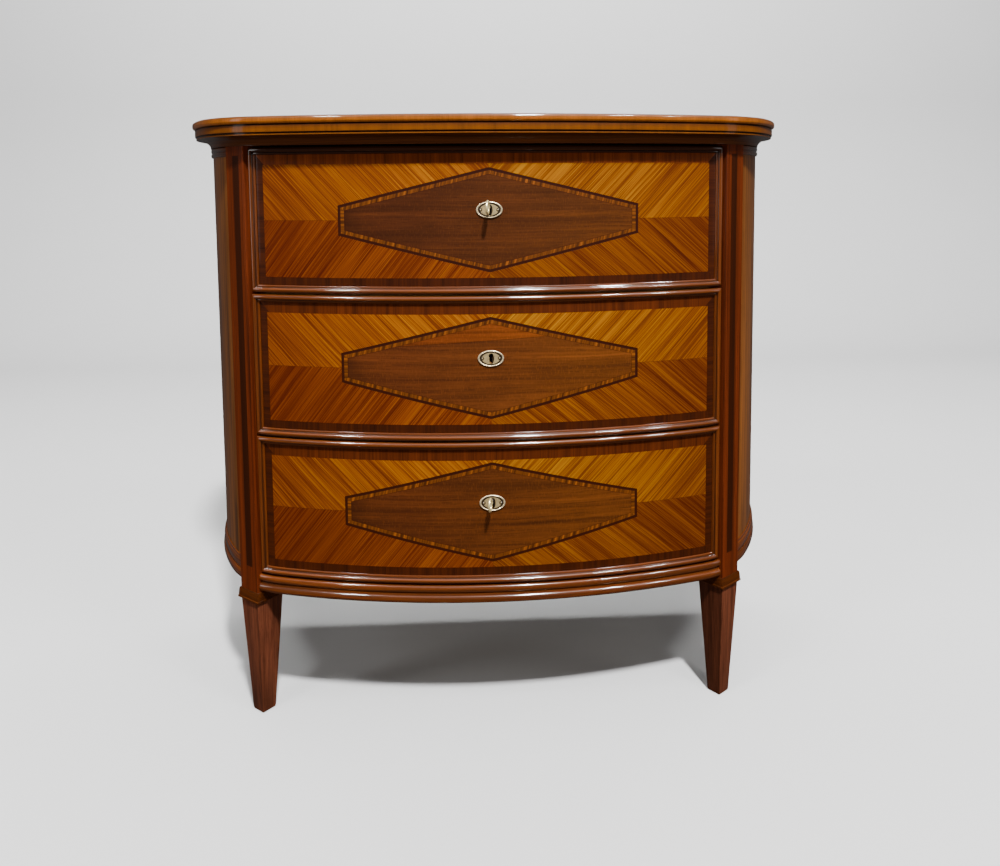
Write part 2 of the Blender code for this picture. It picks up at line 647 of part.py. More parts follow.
# Room for the posts, one cutter for each pair of sides
POST_PLACES = {"left": ((-POST_CENTRE.x, POST_CENTRE.y, 0.0), -POST_ANGLE),
               "right": ((POST_CENTRE.x, POST_CENTRE.y, 0.0), POST_ANGLE)}
REAR_PLACES = {"left": (-REAR_POST_CENTRE.x, REAR_POST_CENTRE.y, 0.0),
               "right": (REAR_POST_CENTRE.x, REAR_POST_CENTRE.y, 0.0)}
front_room = {}
rear_room = {}
for side, (place, turn) in POST_PLACES.items():
    front_room[side] = add_cutter("front_post_room_" + side, post_cutter_mesh(POST_WIDTH, POST_DEPTH, FIT, OVERRUN),
                                   case, place, turn)
    rear_room[side] = add_cutter("rear_post_room_" + side, post_cutter_mesh(REAR_POST_WIDTH, REAR_POST_WIDTH, FIT),
                                 case, REAR_PLACES[side])
ALL_ROOMS = list(front_room.values()) + list(rear_room.values())


def build_top():
    """Slab, cornice and the frame under the slab."""
    mesh = outline_solid("top_slab", slab_outline(), SLAB_THICKNESS)
    slab = add_piece("top_slab", mesh, "top", case, (0.0, 0.0, SLAB_BOTTOM + SLAB_THICKNESS / 2))
    ease(slab, SLAB_NOSE, 3)
    half_width = STATIONS[-1][1].x + SLAB_OVERHANG + OVERRUN
    behind = block("behind_slab", (-half_width, CASE_BACK, -SLAB_THICKNESS),
                   (half_width, CASE_BACK + 2 * OVERRUN, SLAB_THICKNESS))
    combine(slab, [add_cutter("behind_slab", behind, slab)])
    add_piece("cornice_moulding", moulded("cornice_moulding", cornice_section(), -FACE_RUN, FACE_RUN),
              "cornice", case)
    frame_bottom = DRAWERS_TOP - FRONT_LAP
    frame = add_piece("top_frame", board("top_frame", PANEL_THICKNESS + FIT, frame_bottom, SLAB_BOTTOM - FIT),
                      "carcase", case)
    combine(frame, ALL_ROOMS + [strike_cutter("top_strike", frame_bottom)])


def strike_cutter(name, underside):
    """Slot in the underside of a board for the bolt of the lock below it."""
    middle = LOCK_FACE + BOLT_CHANNEL_START + STRIKE_CLEARANCE + BOLT_THICKNESS / 2
    half_thickness = BOLT_THICKNESS / 2 + STRIKE_CLEARANCE
    half_width = BOLT_WIDTH / 2 + STRIKE_CLEARANCE
    mesh = block(name, (-half_width, middle - half_thickness, underside - OVERRUN),
                 (half_width, middle + half_thickness, underside + STRIKE_DEPTH))
    return add_cutter(name, mesh, case)


def guide_tools(name, top):
    """Two strips that keep a drawer straight, let a little way into the board under it."""
    start = POST_BACK_CORNER.y + GUIDE_START_GAP
    inner = BOX_HALF_WIDTH + GUIDE_CLEARANCE
    tools = []
    for side, sign in (("left", -1.0), ("right", 1.0)):
        xs = sorted((sign * inner, sign * (inner + GUIDE_WIDTH)))
        mesh = block(name, (xs[0], start, top - UNION_SINK), (xs[1], BOX_BACK_OUTSIDE, top + GUIDE_HEIGHT))
        tools.append(add_cutter(name + "_" + side, mesh, case))
    return tools


def build_boards():
    """The boards that the drawers run on, each with its two guides."""
    for name, lower_drawer_top in (("divider_upper", DRAWERS_BOTTOM + 2 * DRAWER_PITCH - DRAWER_GAP),
                                   ("divider_lower", DRAWERS_BOTTOM + DRAWER_PITCH - DRAWER_GAP)):
        middle = lower_drawer_top + DRAWER_GAP / 2
        bottom, top = middle - DIVIDER_THICKNESS / 2, middle + DIVIDER_THICKNESS / 2
        divider = add_piece(name, board(name, PANEL_THICKNESS + FIT, bottom, top), "carcase", case)
        combine(divider, ALL_ROOMS + [strike_cutter(name + "_strike", bottom)])
        combine(divider, guide_tools(name + "_guide", top), 'UNION')
    top = DRAWERS_BOTTOM + FRONT_LAP
    lowest = add_piece("bottom_board", board("bottom_board", PANEL_THICKNESS + FIT, top - BOTTOM_THICKNESS, top),
                       "carcase", case)
    combine(lowest, ALL_ROOMS)
    combine(lowest, guide_tools("bottom_guide", top), 'UNION')


def build_sides():
    """Base moulding, side panels and their mouldings, on both sides, and the back."""
    front_base = add_piece("base_moulding_front",
                           moulded("base_moulding_front", base_section(), -POST_RUN, POST_RUN), "moulding", case)
    combine(front_base, front_room.values())
    pieces = (("base_moulding", side_base_section, "moulding"), ("side_panel", panel_section, "panel"),
              ("side_top_moulding", necking_section, "moulding"),
              ("side_bottom_moulding", side_bead_section, "moulding"))
    for side, sign in (("left", -1.0), ("right", 1.0)):
        start, end = sorted((sign * POST_RUN, sign * SIDE_RUN))
        for name, section, finish_name in pieces:
            piece = add_piece(name + "_" + side, moulded(name + "_" + side, section(), start, end),
                              finish_name, case)
            combine(piece, [front_room[side]])
    half = REAR_POST_CENTRE.x - REAR_POST_WIDTH / 2 - FIT
    back = CASE_BACK - BACK_SETBACK
    add_piece("back_panel", block("back_panel", (-half, back - BACK_THICKNESS, BASE_BOTTOM),
                                  (half, back, SLAB_BOTTOM - FIT)), "carcase", case)


def build_legs():
    """Four legs with a collar each; the front pair stand cornerwise."""
    for side, (place, turn) in POST_PLACES.items():
        leg = add_piece("front_leg_" + side,
                        leg_mesh("front_leg", POST_WIDTH, POST_DEPTH, FOOT_WIDTH, FOOT_FORWARD),
                        "leg", case, place, turn)
        ease(leg, POST_ARRIS)
        add_piece("front_leg_collar_" + side, collar_mesh("front_leg_collar", POST_WIDTH, POST_DEPTH),
                  "moulding", case, place, turn)
        leg = add_piece("rear_leg_" + side,
                        leg_mesh("rear_leg", REAR_POST_WIDTH, REAR_POST_WIDTH, REAR_FOOT_WIDTH, 0.0),
                        "leg", case, REAR_PLACES[side])
        ease(leg, POST_ARRIS)
        add_piece("rear_leg_collar_" + side, collar_mesh("rear_leg_collar", REAR_POST_WIDTH, REAR_POST_WIDTH),
                  "moulding", case, REAR_PLACES[side])


def keyhole_cutters(label, drawer):
    """Round hole and slot that go through the drawer front, its lozenge and its plate."""
    start, end = -OVERRUN, LOCK_FACE
    hole = add_cutter(label + "_keyhole_round", rod("keyhole_round", KEYHOLE_RADIUS, start, end, KEY_SEGMENTS),
                      drawer, (0.0, 0.0, KEYHOLE_HEIGHT))
    half = KEYHOLE_SLOT_WIDTH / 2
    slot = add_cutter(label + "_keyhole_slot",
                      block("keyhole_slot", (-half, start, -KEYHOLE_SLOT_LENGTH), (half, end, 0.0)),
                      drawer, (0.0, 0.0, KEYHOLE_HEIGHT))
    return [hole, slot]


def build_drawer_front(label, drawer):
    """Bowed front, its lozenge, its frame of moulding and its keyhole plate."""
    keyhole = keyhole_cutters(label, drawer)
    outline = [(-POST_RUN, 0.0), (POST_RUN, 0.0), (POST_RUN, DRAWER_HEIGHT), (-POST_RUN, DRAWER_HEIGHT)]
    front = add_piece(label + "_front", sheet("drawer_front", outline, -PANEL_THICKNESS, 0.0), "front", drawer)
    ends = [add_cutter(label + "_end_" + side, post_cutter_mesh(POST_WIDTH, POST_DEPTH, END_REVEAL), case, place, turn)
            for side, (place, turn) in POST_PLACES.items()]
    pocket = add_cutter(label + "_lozenge_pocket",
                        sheet("lozenge_pocket", lozenge_outline(), -LOZENGE_THICKNESS, OVERRUN), drawer)
    combine(front, ends + [pocket] + keyhole)
    lozenge = sheet("lozenge", inset_outline(lozenge_outline(), FIT), FIT - LOZENGE_THICKNESS, 0.0)
    combine(add_piece(label + "_lozenge", lozenge, "lozenge", drawer), keyhole)
    add_piece(label + "_moulding", drawer_moulding_mesh("drawer_moulding"), "moulding", drawer)
    plate = add_piece(label + "_keyhole_plate", plate_mesh("keyhole_plate"), "plate", drawer,
                      (0.0, 0.0, PLATE_CENTRE_HEIGHT))
    pin_depth = -(FIT + PLATE_THICKNESS - PLATE_RECESS)
    pins = [add_cutter(label + "_pin_" + side, pin_mesh("pin_head"), drawer,
                       (sign * PIN_SPACING / 2, pin_depth, PLATE_CENTRE_HEIGHT))
            for side, sign in (("left", -1.0), ("right", 1.0))]
    combine(plate, pins, 'UNION')
    combine(plate, keyhole)


def build_drawer_box(label, drawer):
    """Sides, back and bottom of the drawer, trimmed to the curve of the front."""
    inside = BOX_HALF_WIDTH - BOX_SIDE_THICKNESS - FIT
    back_front = BOX_BACK_OUTSIDE - BOX_BACK_THICKNESS
    trim_mesh = board("trim", PANEL_THICKNESS + FIT, BOX_FLOOR - OVERRUN, BOX_TOP + OVERRUN)
    trim = add_cutter(label + "_trim", trim_mesh, drawer)
    for side, sign in (("left", -1.0), ("right", 1.0)):
        xs = sorted((sign * BOX_HALF_WIDTH, sign * (BOX_HALF_WIDTH - BOX_SIDE_THICKNESS)))
        mesh = block("drawer_side", (xs[0], 0.0, BOX_FLOOR), (xs[1], BOX_BACK_OUTSIDE, BOX_TOP))
        combine(add_piece(label + "_side_" + side, mesh, "oak", drawer), [trim], 'INTERSECT')
    add_piece(label + "_back", block("drawer_back", (-inside, back_front, BOX_FLOOR),
                                     (inside, BOX_BACK_OUTSIDE, BOX_TOP)), "oak", drawer)
    floor = BOX_FLOOR + BOX_BOTTOM_RISE
    mesh = block("drawer_bottom", (-inside, 0.0, floor), (inside, back_front - FIT, floor + BOX_BOTTOM_THICKNESS))
    combine(add_piece(label + "_bottom", mesh, "oak", drawer), [trim], 'INTERSECT')


def build_lock(label, drawer):
    """Lock behind the keyhole, with a bolt that rises out of its top."""
    half = LOCK_WIDTH / 2
    mesh = block("lock_case", (-half, LOCK_FACE, KEYHOLE_HEIGHT - LOCK_BELOW_KEY),
                 (half, LOCK_FACE + LOCK_DEPTH, LOCK_TOP))
    lock = add_piece(label + "_lock_case", mesh, "steel", drawer)
    ward = rod("ward", BIT_REACH + WARD_CLEARANCE, LOCK_FACE - OVERRUN, LOCK_FACE + WARD_DEPTH, PLATE_SEGMENTS)
    ward_cutter = add_cutter(label + "_ward", ward, drawer, (0.0, 0.0, KEYHOLE_HEIGHT))
    start = LOCK_FACE + BOLT_CHANNEL_START
    bolt_foot = KEYHOLE_HEIGHT - BOLT_BELOW_KEY
    channel = block("bolt_channel", (-BOLT_WIDTH / 2 - FIT, start, bolt_foot - FIT),
                    (BOLT_WIDTH / 2 + FIT, start + BOLT_THICKNESS + 2 * FIT, LOCK_TOP + OVERRUN))
    combine(lock, [ward_cutter, add_cutter(label + "_bolt_channel", channel, drawer)])
    axis = empty(label + "_bolt_slide", drawer, (0.0, start + FIT, bolt_foot))
    bolt = block("lock_bolt", (-BOLT_WIDTH / 2, 0.0, 0.0),
                 (BOLT_WIDTH / 2, BOLT_THICKNESS, LOCK_TOP - BOLT_SINK - bolt_foot))
    add_piece(label + "_lock_bolt", bolt, "steel", axis)


def build_key(label, drawer):
    """Key in its lock, its bow and bit upright; it turns about the Y axis of its empty."""
    axis = empty(label + "_key_turn", drawer, (0.0, 0.0, KEYHOLE_HEIGHT))
    inner_end = LOCK_FACE + WARD_DEPTH - STEM_END_GAP
    bow_centre = -(KEY_LENGTH_OUTSIDE - BOW_LENGTH / 2)
    bow_inside = bow_centre + BOW_LENGTH / 2 - BOW_WIRE_RADIUS
    shoulder_end = -(PLATE_THICKNESS + FIT + KEY_SHOULDER_GAP)
    key = add_piece(label + "_key", rod("key_stem", STEM_RADIUS, bow_inside, inner_end, KEY_SEGMENTS), "key", axis)
    bow = add_cutter(label + "_key_bow", bow_mesh("key_bow"), axis, (0.0, bow_centre, 0.0))
    shoulder = add_cutter(label + "_key_shoulder",
                          rod("key_shoulder", KEY_SHOULDER_RADIUS, shoulder_end - KEY_SHOULDER_LENGTH, shoulder_end,
                              KEY_SEGMENTS), axis)
    half = BIT_THICKNESS / 2
    bit = add_cutter(label + "_key_bit", block("key_bit", (-half, inner_end - BIT_LENGTH, -BIT_REACH),
                                               (half, inner_end - STEM_END_GAP / 2, 0.0)), axis)
    combine(key, [bow, shoulder, bit], 'UNION')


build_top()
build_boards()
build_sides()
build_legs()
for number in range(1, DRAWER_COUNT + 1):
    drawer_name = f"drawer_{number}"
    lower_edge = DRAWERS_BOTTOM + (DRAWER_COUNT - number) * DRAWER_PITCH
    drawer_axis = empty(drawer_name + "_slide", case, (0.0, 0.0, lower_edge))
    build_drawer_front(drawer_name, drawer_axis)
    build_drawer_box(drawer_name, drawer_axis)
    build_lock(drawer_name, drawer_axis)
    if number in KEYED_DRAWERS:
        build_key(drawer_name, drawer_axis)
bpy.context.view_layer.update()
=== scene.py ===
"""Dresses the demilune chest of drawers: polished veneers, mouldings, brass and a plain studio.

Every curved piece is made flat, with X as the running length along the drawer face, Y as the height
and Z as the reach out from the face. A Geometry Nodes tree then wraps it round the plan of the chest
and keeps the flat coordinates in an attribute named "place", which the wood materials follow.
"""

from math import cos, pi, radians, sin
from typing import NamedTuple

import bmesh
import bpy
from mathutils import Matrix, Vector


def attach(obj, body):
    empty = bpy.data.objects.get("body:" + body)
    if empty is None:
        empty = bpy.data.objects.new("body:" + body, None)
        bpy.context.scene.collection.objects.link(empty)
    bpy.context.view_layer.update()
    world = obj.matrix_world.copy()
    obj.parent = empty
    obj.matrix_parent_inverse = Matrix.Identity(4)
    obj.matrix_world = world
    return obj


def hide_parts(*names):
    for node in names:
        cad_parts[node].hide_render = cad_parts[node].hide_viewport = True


bl_info = {
    "name": "Demilune chest of drawers",
    "version": (1, 0, 0),
    "blender": (4, 5, 0),
    "location": "View3D > Sidebar > Chest",
    "description": "Makes the pieces, finishes and studio of a half-round chest of drawers",
    "category": "Object",
}

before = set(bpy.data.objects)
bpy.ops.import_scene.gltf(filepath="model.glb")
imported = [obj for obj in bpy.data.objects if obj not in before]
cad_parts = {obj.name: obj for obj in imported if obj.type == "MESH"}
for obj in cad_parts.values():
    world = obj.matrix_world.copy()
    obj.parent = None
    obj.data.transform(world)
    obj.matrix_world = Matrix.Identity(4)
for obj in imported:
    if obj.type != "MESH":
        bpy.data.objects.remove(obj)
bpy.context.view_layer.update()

JOINT = 0.0003                  # gap left where two pieces meet
SIDES = (("left", -1.0), ("right", 1.0))

# Plan of the drawer face: three arcs a side, then a straight return
FRONT_RADIUS = 1.034
CORNER_RADIUS = 0.129
SIDE_RADIUS = 0.364
FRONT_ANGLE = radians(16.5)
CORNER_ANGLE = radians(58.0)
SIDE_ANGLE = radians(90.0)
SIDE_RETURN = 0.070
ARC_STEPS = 60
CASE_BACK = 0.3608              # from the middle of the drawer face to the slab's back edge
SLAB_OVERHANG = 0.0316
FACE_Y = (SLAB_OVERHANG - CASE_BACK) / 2    # where the middle of the drawer face stands
SIDE_REACH = 0.0042             # how far the side panels stand out past the drawer face
PANEL_THICKNESS = 0.018

# Heights
LEG_HEIGHT = 0.169
COLLAR_TOP = LEG_HEIGHT + 0.0148
BASE_BOTTOM = COLLAR_TOP + 0.0026
BASE_TOP = BASE_BOTTOM + 0.0237
DRAWERS_BOTTOM = BASE_TOP + 0.003
DRAWER_HEIGHT = 0.194
DRAWER_PITCH = 0.197
CORNICE_BOTTOM = DRAWERS_BOTTOM + 3 * DRAWER_PITCH - 0.0005
FILLET_BOTTOM = CORNICE_BOTTOM + 0.0125
GROOVE_BOTTOM = FILLET_BOTTOM + 0.0018
FASCIA_BOTTOM = FILLET_BOTTOM + 0.0038
SLAB_BOTTOM = FILLET_BOTTOM + 0.0147
QUIRK_BOTTOM = SLAB_BOTTOM - 0.0017
SLAB_TOP = SLAB_BOTTOM + 0.0097

# Inset of the lines in the top's marquetry
EDGE_WIDTH = 0.0120
BAND_END = 0.0495
TOP_LINE = 0.0015

# Legs
POST_ANGLE = radians(38.6)
POST_WIDTH = 0.038
POST_DEPTH = 0.042
POST_PROUD = 0.0085
POST_GAP = 0.001                # between a corner post and a drawer front
STRIPE_HALF_WIDTH = POST_WIDTH * 0.17
STRIPE_SHIFT = 0.0022           # how far the corner posts' stripes lie towards the middle of the chest
STRIPE_BOTTOM = BASE_TOP + 0.0085
STRIPE_TOP = CORNICE_BOTTOM - 0.0130
FOOT_WIDTH = 0.022
FOOT_WEAR = 0.0018
FOOT_FORWARD = 0.002            # the foot's middle stands out past the post's
REAR_POST_WIDTH = 0.036
BACK_SETBACK = 0.0055

# Drawer fronts
POST_RUN = FRONT_RADIUS * FRONT_ANGLE + CORNER_RADIUS * (POST_ANGLE - FRONT_ANGLE)
FRONT_RUN = POST_RUN - POST_WIDTH / 2 - POST_GAP
FRAME_WIDTH = 0.0098
PLATE_HEIGHT_UP = 0.1104
PLATE_HALF_WIDTH = 0.0174
PLATE_HALF_HEIGHT = 0.0109
PIN_OUT = 0.01165
KEYHOLE_UP = 0.1138
LOZENGE_LENGTH = 0.201
LOZENGE_RISE = 0.069
LOZENGE_END_RISE = 0.020
THIN_LINE = 0.0007              # width of the fine line inside the lozenge's strip
VENEER = 0.0010
KEY_LEANS = {1: 0.14, 3: 0.18}  # how far aside each key's bow hangs; the middle drawer has no key

COLUMN = 0.006                  # most that a wrapped face runs before it bends
OVERRUN = 0.01                  # how far a cutting shape runs past the surface
KEYHOLE_DEPTH = 0.03            # how deep the keyhole's cutting shapes reach
SEAM = 0.0002                   # how far a groove's painted shade runs past its edges


class Look(NamedTuple):
    """How one drawer's finish differs from the others', with painted light on its upper crossband and painted
    shade on its upper moulding
    """
    paleness: float             # of its tulipwood
    band_width: float           # what its upper crossband has over the lower one
    upper_band_painted_light: float        # painted light: paleness of its upper crossband, lifted where the mouldings above shade it
    top_bar_painted_shade: float              # painted shade: paleness of its upper moulding, as if in the cornice's shadow
    walnut: float               # paleness of its lozenge
    joint: float                # height of a joint above the lozenge's middle; 1.0 leaves it out


LOOKS = {1: Look(1.0, 0.0022, 3.6, 0.3, 0.87, 1.0),
         2: Look(1.02, 0.0038, 1.9, 1.0, 1.3, 0.037),
         3: Look(0.94, 0.0046, 1.8, 1.0, 1.08, 1.0)}


# Settings

def srgb(red, green, blue):
    """A screen colour, 0 to 255, as the linear colour that shaders take."""
    def linear(value):
        share = value / 255
        return share / 12.92 if share <= 0.04045 else ((share + 0.055) / 1.055) ** 2.4
    return (linear(red), linear(green), linear(blue), 1.0)


def colour_setting(name, description, red, green, blue):
    """A colour offered in the sidebar."""
    return bpy.props.FloatVectorProperty(name=name, description=description, subtype='COLOR', size=4,
                                         min=0.0, max=1.0, default=srgb(red, green, blue))


def length_setting(name, description, default, low, high):
    """A length offered in the sidebar."""
    return bpy.props.FloatProperty(name=name, description=description, default=default, min=low, max=high,
                                   unit='LENGTH', precision=4)


class ChestColours(bpy.types.PropertyGroup):
    """Colours of the woods"""
    tulip_light: colour_setting("Tulipwood, light", "Pale streaks of the upper quarters", 160, 102, 5)
    tulip_mid: colour_setting("Tulipwood, middle", "Ground of the upper quarters", 128, 68, 3)
    tulip_dark: colour_setting("Tulipwood, dark", "Dark streaks of the upper quarters", 90, 37, 2)
    crossband: colour_setting("Crossband", "Dark band round each drawer's field", 52, 19, 3)
    walnut: colour_setting("Walnut", "Ground of the lozenges", 72, 34, 11)
    stringing: colour_setting("Stringing", "Dark line round each lozenge", 44, 15, 3)
    strip: colour_setting("Light strip", "Ticked strip inside the dark line", 97, 50, 12)
    moulding: colour_setting("Mouldings", "Wood of the mouldings", 88, 41, 8)
    fascia: colour_setting("Slab edge and fascia", "Golden wood of the top's edge", 107, 57, 9)
    leg: colour_setting("Legs", "Wood of the legs and corner posts", 90, 40, 8)
    side: colour_setting("Side veneer", "Wood of the side panels", 114, 65, 22)


class ChestSizes(bpy.types.PropertyGroup):
    """Sizes that may be changed without moving any piece"""
    crossband_width: length_setting("Crossband width", "Width of the dark band inside a drawer's moulding",
                                    0.0110, 0.004, 0.03)
    string_width: length_setting("Stringing width", "Width of the dark line round a lozenge",
                                 0.0038, 0.001, 0.01)
    strip_width: length_setting("Light strip width", "Width of the ticked strip round a lozenge",
                                0.0048, 0.001, 0.02)
    grain_angle: bpy.props.FloatProperty(
        name="Grain angle", description="Slant of the quartered tulipwood above the horizontal",
        default=radians(46.0), min=0.0, max=radians(90.0), subtype='ANGLE')
    arris: length_setting("Arris", "Rounding of the legs' long edges", 0.0009, 0.0002, 0.003)


def settings():
    """The colours and sizes set in the scene."""
    return bpy.context.scene.chest_colours, bpy.context.scene.chest_sizes


# Plan

def outward(angle):
    """Unit vector out of the face where its normal has turned by this angle from straight ahead."""
    return Vector((sin(angle), -cos(angle)))


def turns(angle, steps):
    """Angles from none to this one in equal steps."""
    return [angle * step / steps for step in range(steps + 1)]


def half_plan():
    """Running length, point and normal along the right half of the face."""
    half = [(0.0, Vector((0.0, FACE_Y)), outward(0.0))]
    for radius, start, end in ((FRONT_RADIUS, 0.0, FRONT_ANGLE), (CORNER_RADIUS, FRONT_ANGLE, CORNER_ANGLE),
                               (SIDE_RADIUS, CORNER_ANGLE, SIDE_ANGLE)):
        run, point, normal = half[-1]
        centre = point - radius * normal
        for turn in turns(end - start, ARC_STEPS)[1:]:
            normal = outward(start + turn)
            half.append((run + radius * turn, centre + radius * normal, normal))
    run, point, normal = half[-1]
    return half + [(run + SIDE_RETURN, point + Vector((0.0, SIDE_RETURN)), normal)]


def on_plan(run, reach):
    """Plan point at a running length along the face, standing out from it by a reach."""
    sign = -1.0 if run < 0.0 else 1.0
    for before, after in zip(HALF_PLAN, HALF_PLAN[1:]):
        if abs(run) <= after[0]:
            break
    share = (abs(run) - before[0]) / (after[0] - before[0])
    point = before[1].lerp(after[1], share) + reach * before[2].lerp(after[2], share).normalized()
    return Vector((sign * point.x, point.y))


HALF_PLAN = half_plan()
FACE_RUN = HALF_PLAN[-1][0]
REAR_POST_FRONT = CASE_BACK - BACK_SETBACK - REAR_POST_WIDTH
SIDE_RUN = FACE_RUN - (CASE_BACK - REAR_POST_FRONT) - JOINT
POST_CENTRE = on_plan(POST_RUN, POST_PROUD - POST_DEPTH / 2)
REAR_POST_CENTRE = Vector((HALF_PLAN[-1][1].x - REAR_POST_WIDTH / 2,
                           FACE_Y + REAR_POST_FRONT + REAR_POST_WIDTH / 2))


def front_end(reach):
    """Running length at which a drawer front ends beside its post, at a reach."""
    tangent = Vector((cos(POST_ANGLE), sin(POST_ANGLE)))
    # the answer is closed in on by halving, from well inside the post and from its middle
    low, high = 0.25, POST_RUN
    for _ in range(40):
        middle = (low + high) / 2
        gap = (on_plan(middle, reach) - POST_CENTRE).dot(tangent) + POST_WIDTH / 2 + POST_GAP
        low, high = (middle, high) if gap < 0.0 else (low, middle)
    return low


# Node helpers

class Wire:
    """A node's output; plain arithmetic on it adds the nodes that work the sum out"""

    def __init__(self, socket):
        self.socket = socket
        self.tree = socket.id_data

    def math(self, operation, *others):
        """Output of a Math node fed by this wire and the others, which may be numbers."""
        return wire(self.tree, 'ShaderNodeMath', dict(enumerate((self,) + others)), operation=operation)

    def __add__(self, other):
        return self.math('ADD', other)

    def __sub__(self, other):
        return self.math('SUBTRACT', other)

    def __rsub__(self, other):
        return wire(self.tree, 'ShaderNodeMath', {0: other, 1: self}, operation='SUBTRACT')

    def __mul__(self, other):
        return self.math('MULTIPLY', other)

    def __truediv__(self, other):
        return self.math('DIVIDE', other)

    def __gt__(self, other):
        return self.math('GREATER_THAN', other)

    def __lt__(self, other):
        return self.math('LESS_THAN', other)

    def __abs__(self):
        return self.math('ABSOLUTE')


def add_node(tree, kind, values=None, **options):
    """A node with its options, and its inputs set to numbers or linked to sockets or wires."""
    node = tree.nodes.new(kind)
    for name, value in options.items():
        setattr(node, name, value)
    for key, value in (values or {}).items():
        value = value.socket if isinstance(value, Wire) else value
        if isinstance(value, bpy.types.NodeSocket):
            tree.links.new(value, node.inputs[key])
        else:
            node.inputs[key].default_value = value
    return node


def wire(tree, kind, values=None, output=0, **options):
    """An output of a new node."""
    return Wire(add_node(tree, kind, values, **options).outputs[output])


def tree_of(*values):
    """The tree that the wires among these values belong to."""
    return next(value.tree for value in values if isinstance(value, Wire))


def mix(share, first, second, blend='MIX'):
    """Colour between first and second."""
    return wire(tree_of(share, first, second), 'ShaderNodeMix', {0: share, 6: first, 7: second}, 2,
                data_type='RGBA', blend_type=blend)


def tint(colour, red, green, blue):
    """A colour multiplied channel by channel."""
    return mix(1.0, colour, (red, green, blue, 1.0), 'MULTIPLY')


def paled(colour, factor):
    """A colour made evenly paler, or darker with a factor under one."""
    return tint(colour, factor, factor, factor)


def combine(x, y, z):
    """A vector from three numbers or wires."""
    return wire(tree_of(x, y, z), 'ShaderNodeCombineXYZ', {0: x, 1: y, 2: z})


def separate(vector):
    """The three parts of a vector."""
    return [Wire(socket) for socket in add_node(vector.tree, 'ShaderNodeSeparateXYZ', {0: vector}).outputs]


def noise(vector, scale, detail=3.0, roughness=0.55):
    """Value of a noise pattern, 0 to 1."""
    return wire(vector.tree, 'ShaderNodeTexNoise', {'Vector': vector, 'Scale': scale, 'Detail': detail,
                                                    'Roughness': roughness})


def stretch(vector, scale, shift=(0.0, 0.0, 0.0)):
    """A vector scaled along each axis, then shifted."""
    return wire(vector.tree, 'ShaderNodeMapping', {'Vector': vector, 'Location': shift, 'Scale': scale})


def ramp(value, stops):
    """Colour ramp through (position, colour) stops."""
    node = add_node(value.tree, 'ShaderNodeValToRGB', {0: value})
    elements = node.color_ramp.elements
    while len(elements) < len(stops):
        elements.new(0.5)
    for element, (position, colour) in zip(elements, stops):
        element.position = position
        element.color = colour
    return Wire(node.outputs[0])


def between(value, low, high, out_low=0.0, out_high=1.0):
    """A value taken from one range to another and held inside it."""
    return wire(value.tree, 'ShaderNodeMapRange', {0: value, 1: low, 2: high, 3: out_low, 4: out_high})


def shade(colour, factor):
    """A plain colour made darker or lighter."""
    return (min(1.0, colour[0] * factor), min(1.0, colour[1] * factor), min(1.0, colour[2] * factor), 1.0)


def new_material(name):
    """An empty material and its main shader."""
    material = bpy.data.materials.new(name)
    material.use_nodes = True
    return material, material.node_tree.nodes["Principled BSDF"]


def flat_place(shader):
    """Where on the flat piece a point lies, from the attribute that the piece carries."""
    return wire(shader.id_data, 'ShaderNodeAttribute', output='Vector', attribute_name="place")


def object_place(shader):
    """Where a point lies in object coordinates."""
    return wire(shader.id_data, 'ShaderNodeTexCoord', output='Object')


def polish(shader, tone, relief, coat=0.45, coat_roughness=0.07, roughness=0.42, strength=0.15, gloss=1.25):
    """French polish over a coloured wood, with a little relief from its pores."""
    tree = shader.id_data
    tree.links.new(tone.socket, shader.inputs['Base Color'])
    for label, value in (('Roughness', roughness), ('Specular IOR Level', 0.08), ('Coat Weight', coat),
                         ('Coat Roughness', coat_roughness), ('Coat IOR', gloss)):
        shader.inputs[label].default_value = value
    bump = wire(tree, 'ShaderNodeBump', {'Height': relief, 'Strength': strength, 'Distance': 0.0004})
    tree.links.new(bump.socket, shader.inputs['Normal'])
    tree.links.new(bump.socket, shader.inputs['Coat Normal'])


# Mesh helpers

def to_mesh(bm, name):
    """Turn working geometry into a mesh."""
    mesh = bpy.data.meshes.new(name)
    bm.to_mesh(mesh)
    bm.free()
    return mesh


def new_object(name, data):
    """An object in the scene."""
    piece = bpy.data.objects.new(name, data)
    bpy.context.scene.collection.objects.link(piece)
    return piece


def final_mesh(source, **options):
    """The mesh of an object after its modifiers."""
    bpy.context.view_layer.update()
    graph = bpy.context.evaluated_depsgraph_get()
    return bpy.data.meshes.new_from_object(source.evaluated_get(graph), **options)


def baked(source, name, material, smooth=32.0):
    """A plain mesh object made from an object's finished shape; the source is removed."""
    graph = bpy.context.evaluated_depsgraph_get()
    mesh = final_mesh(source, preserve_all_data_layers=True, depsgraph=graph)
    mesh.transform(source.matrix_world)
    bpy.data.objects.remove(source, do_unlink=True)
    bm = bmesh.new()
    bm.from_mesh(mesh)
    bmesh.ops.remove_doubles(bm, verts=bm.verts, dist=0.000002)
    if bm.calc_volume(signed=True) < 0.0:
        bmesh.ops.reverse_faces(bm, faces=bm.faces)
    bm.to_mesh(mesh)
    bm.free()
    for face in mesh.polygons:
        face.use_smooth = True
    mesh.set_sharp_from_angle(angle=radians(smooth))
    mesh.name = name
    mesh.materials.clear()
    mesh.materials.append(material)
    return new_object(name, mesh)


def keep_place(mesh):
    """Store each point's present coordinates as its place, for the finish to follow."""
    attribute = mesh.attributes.new("place", 'FLOAT_VECTOR', 'POINT')
    for item, vertex in zip(attribute.data, mesh.vertices):
        item.vector = vertex.co


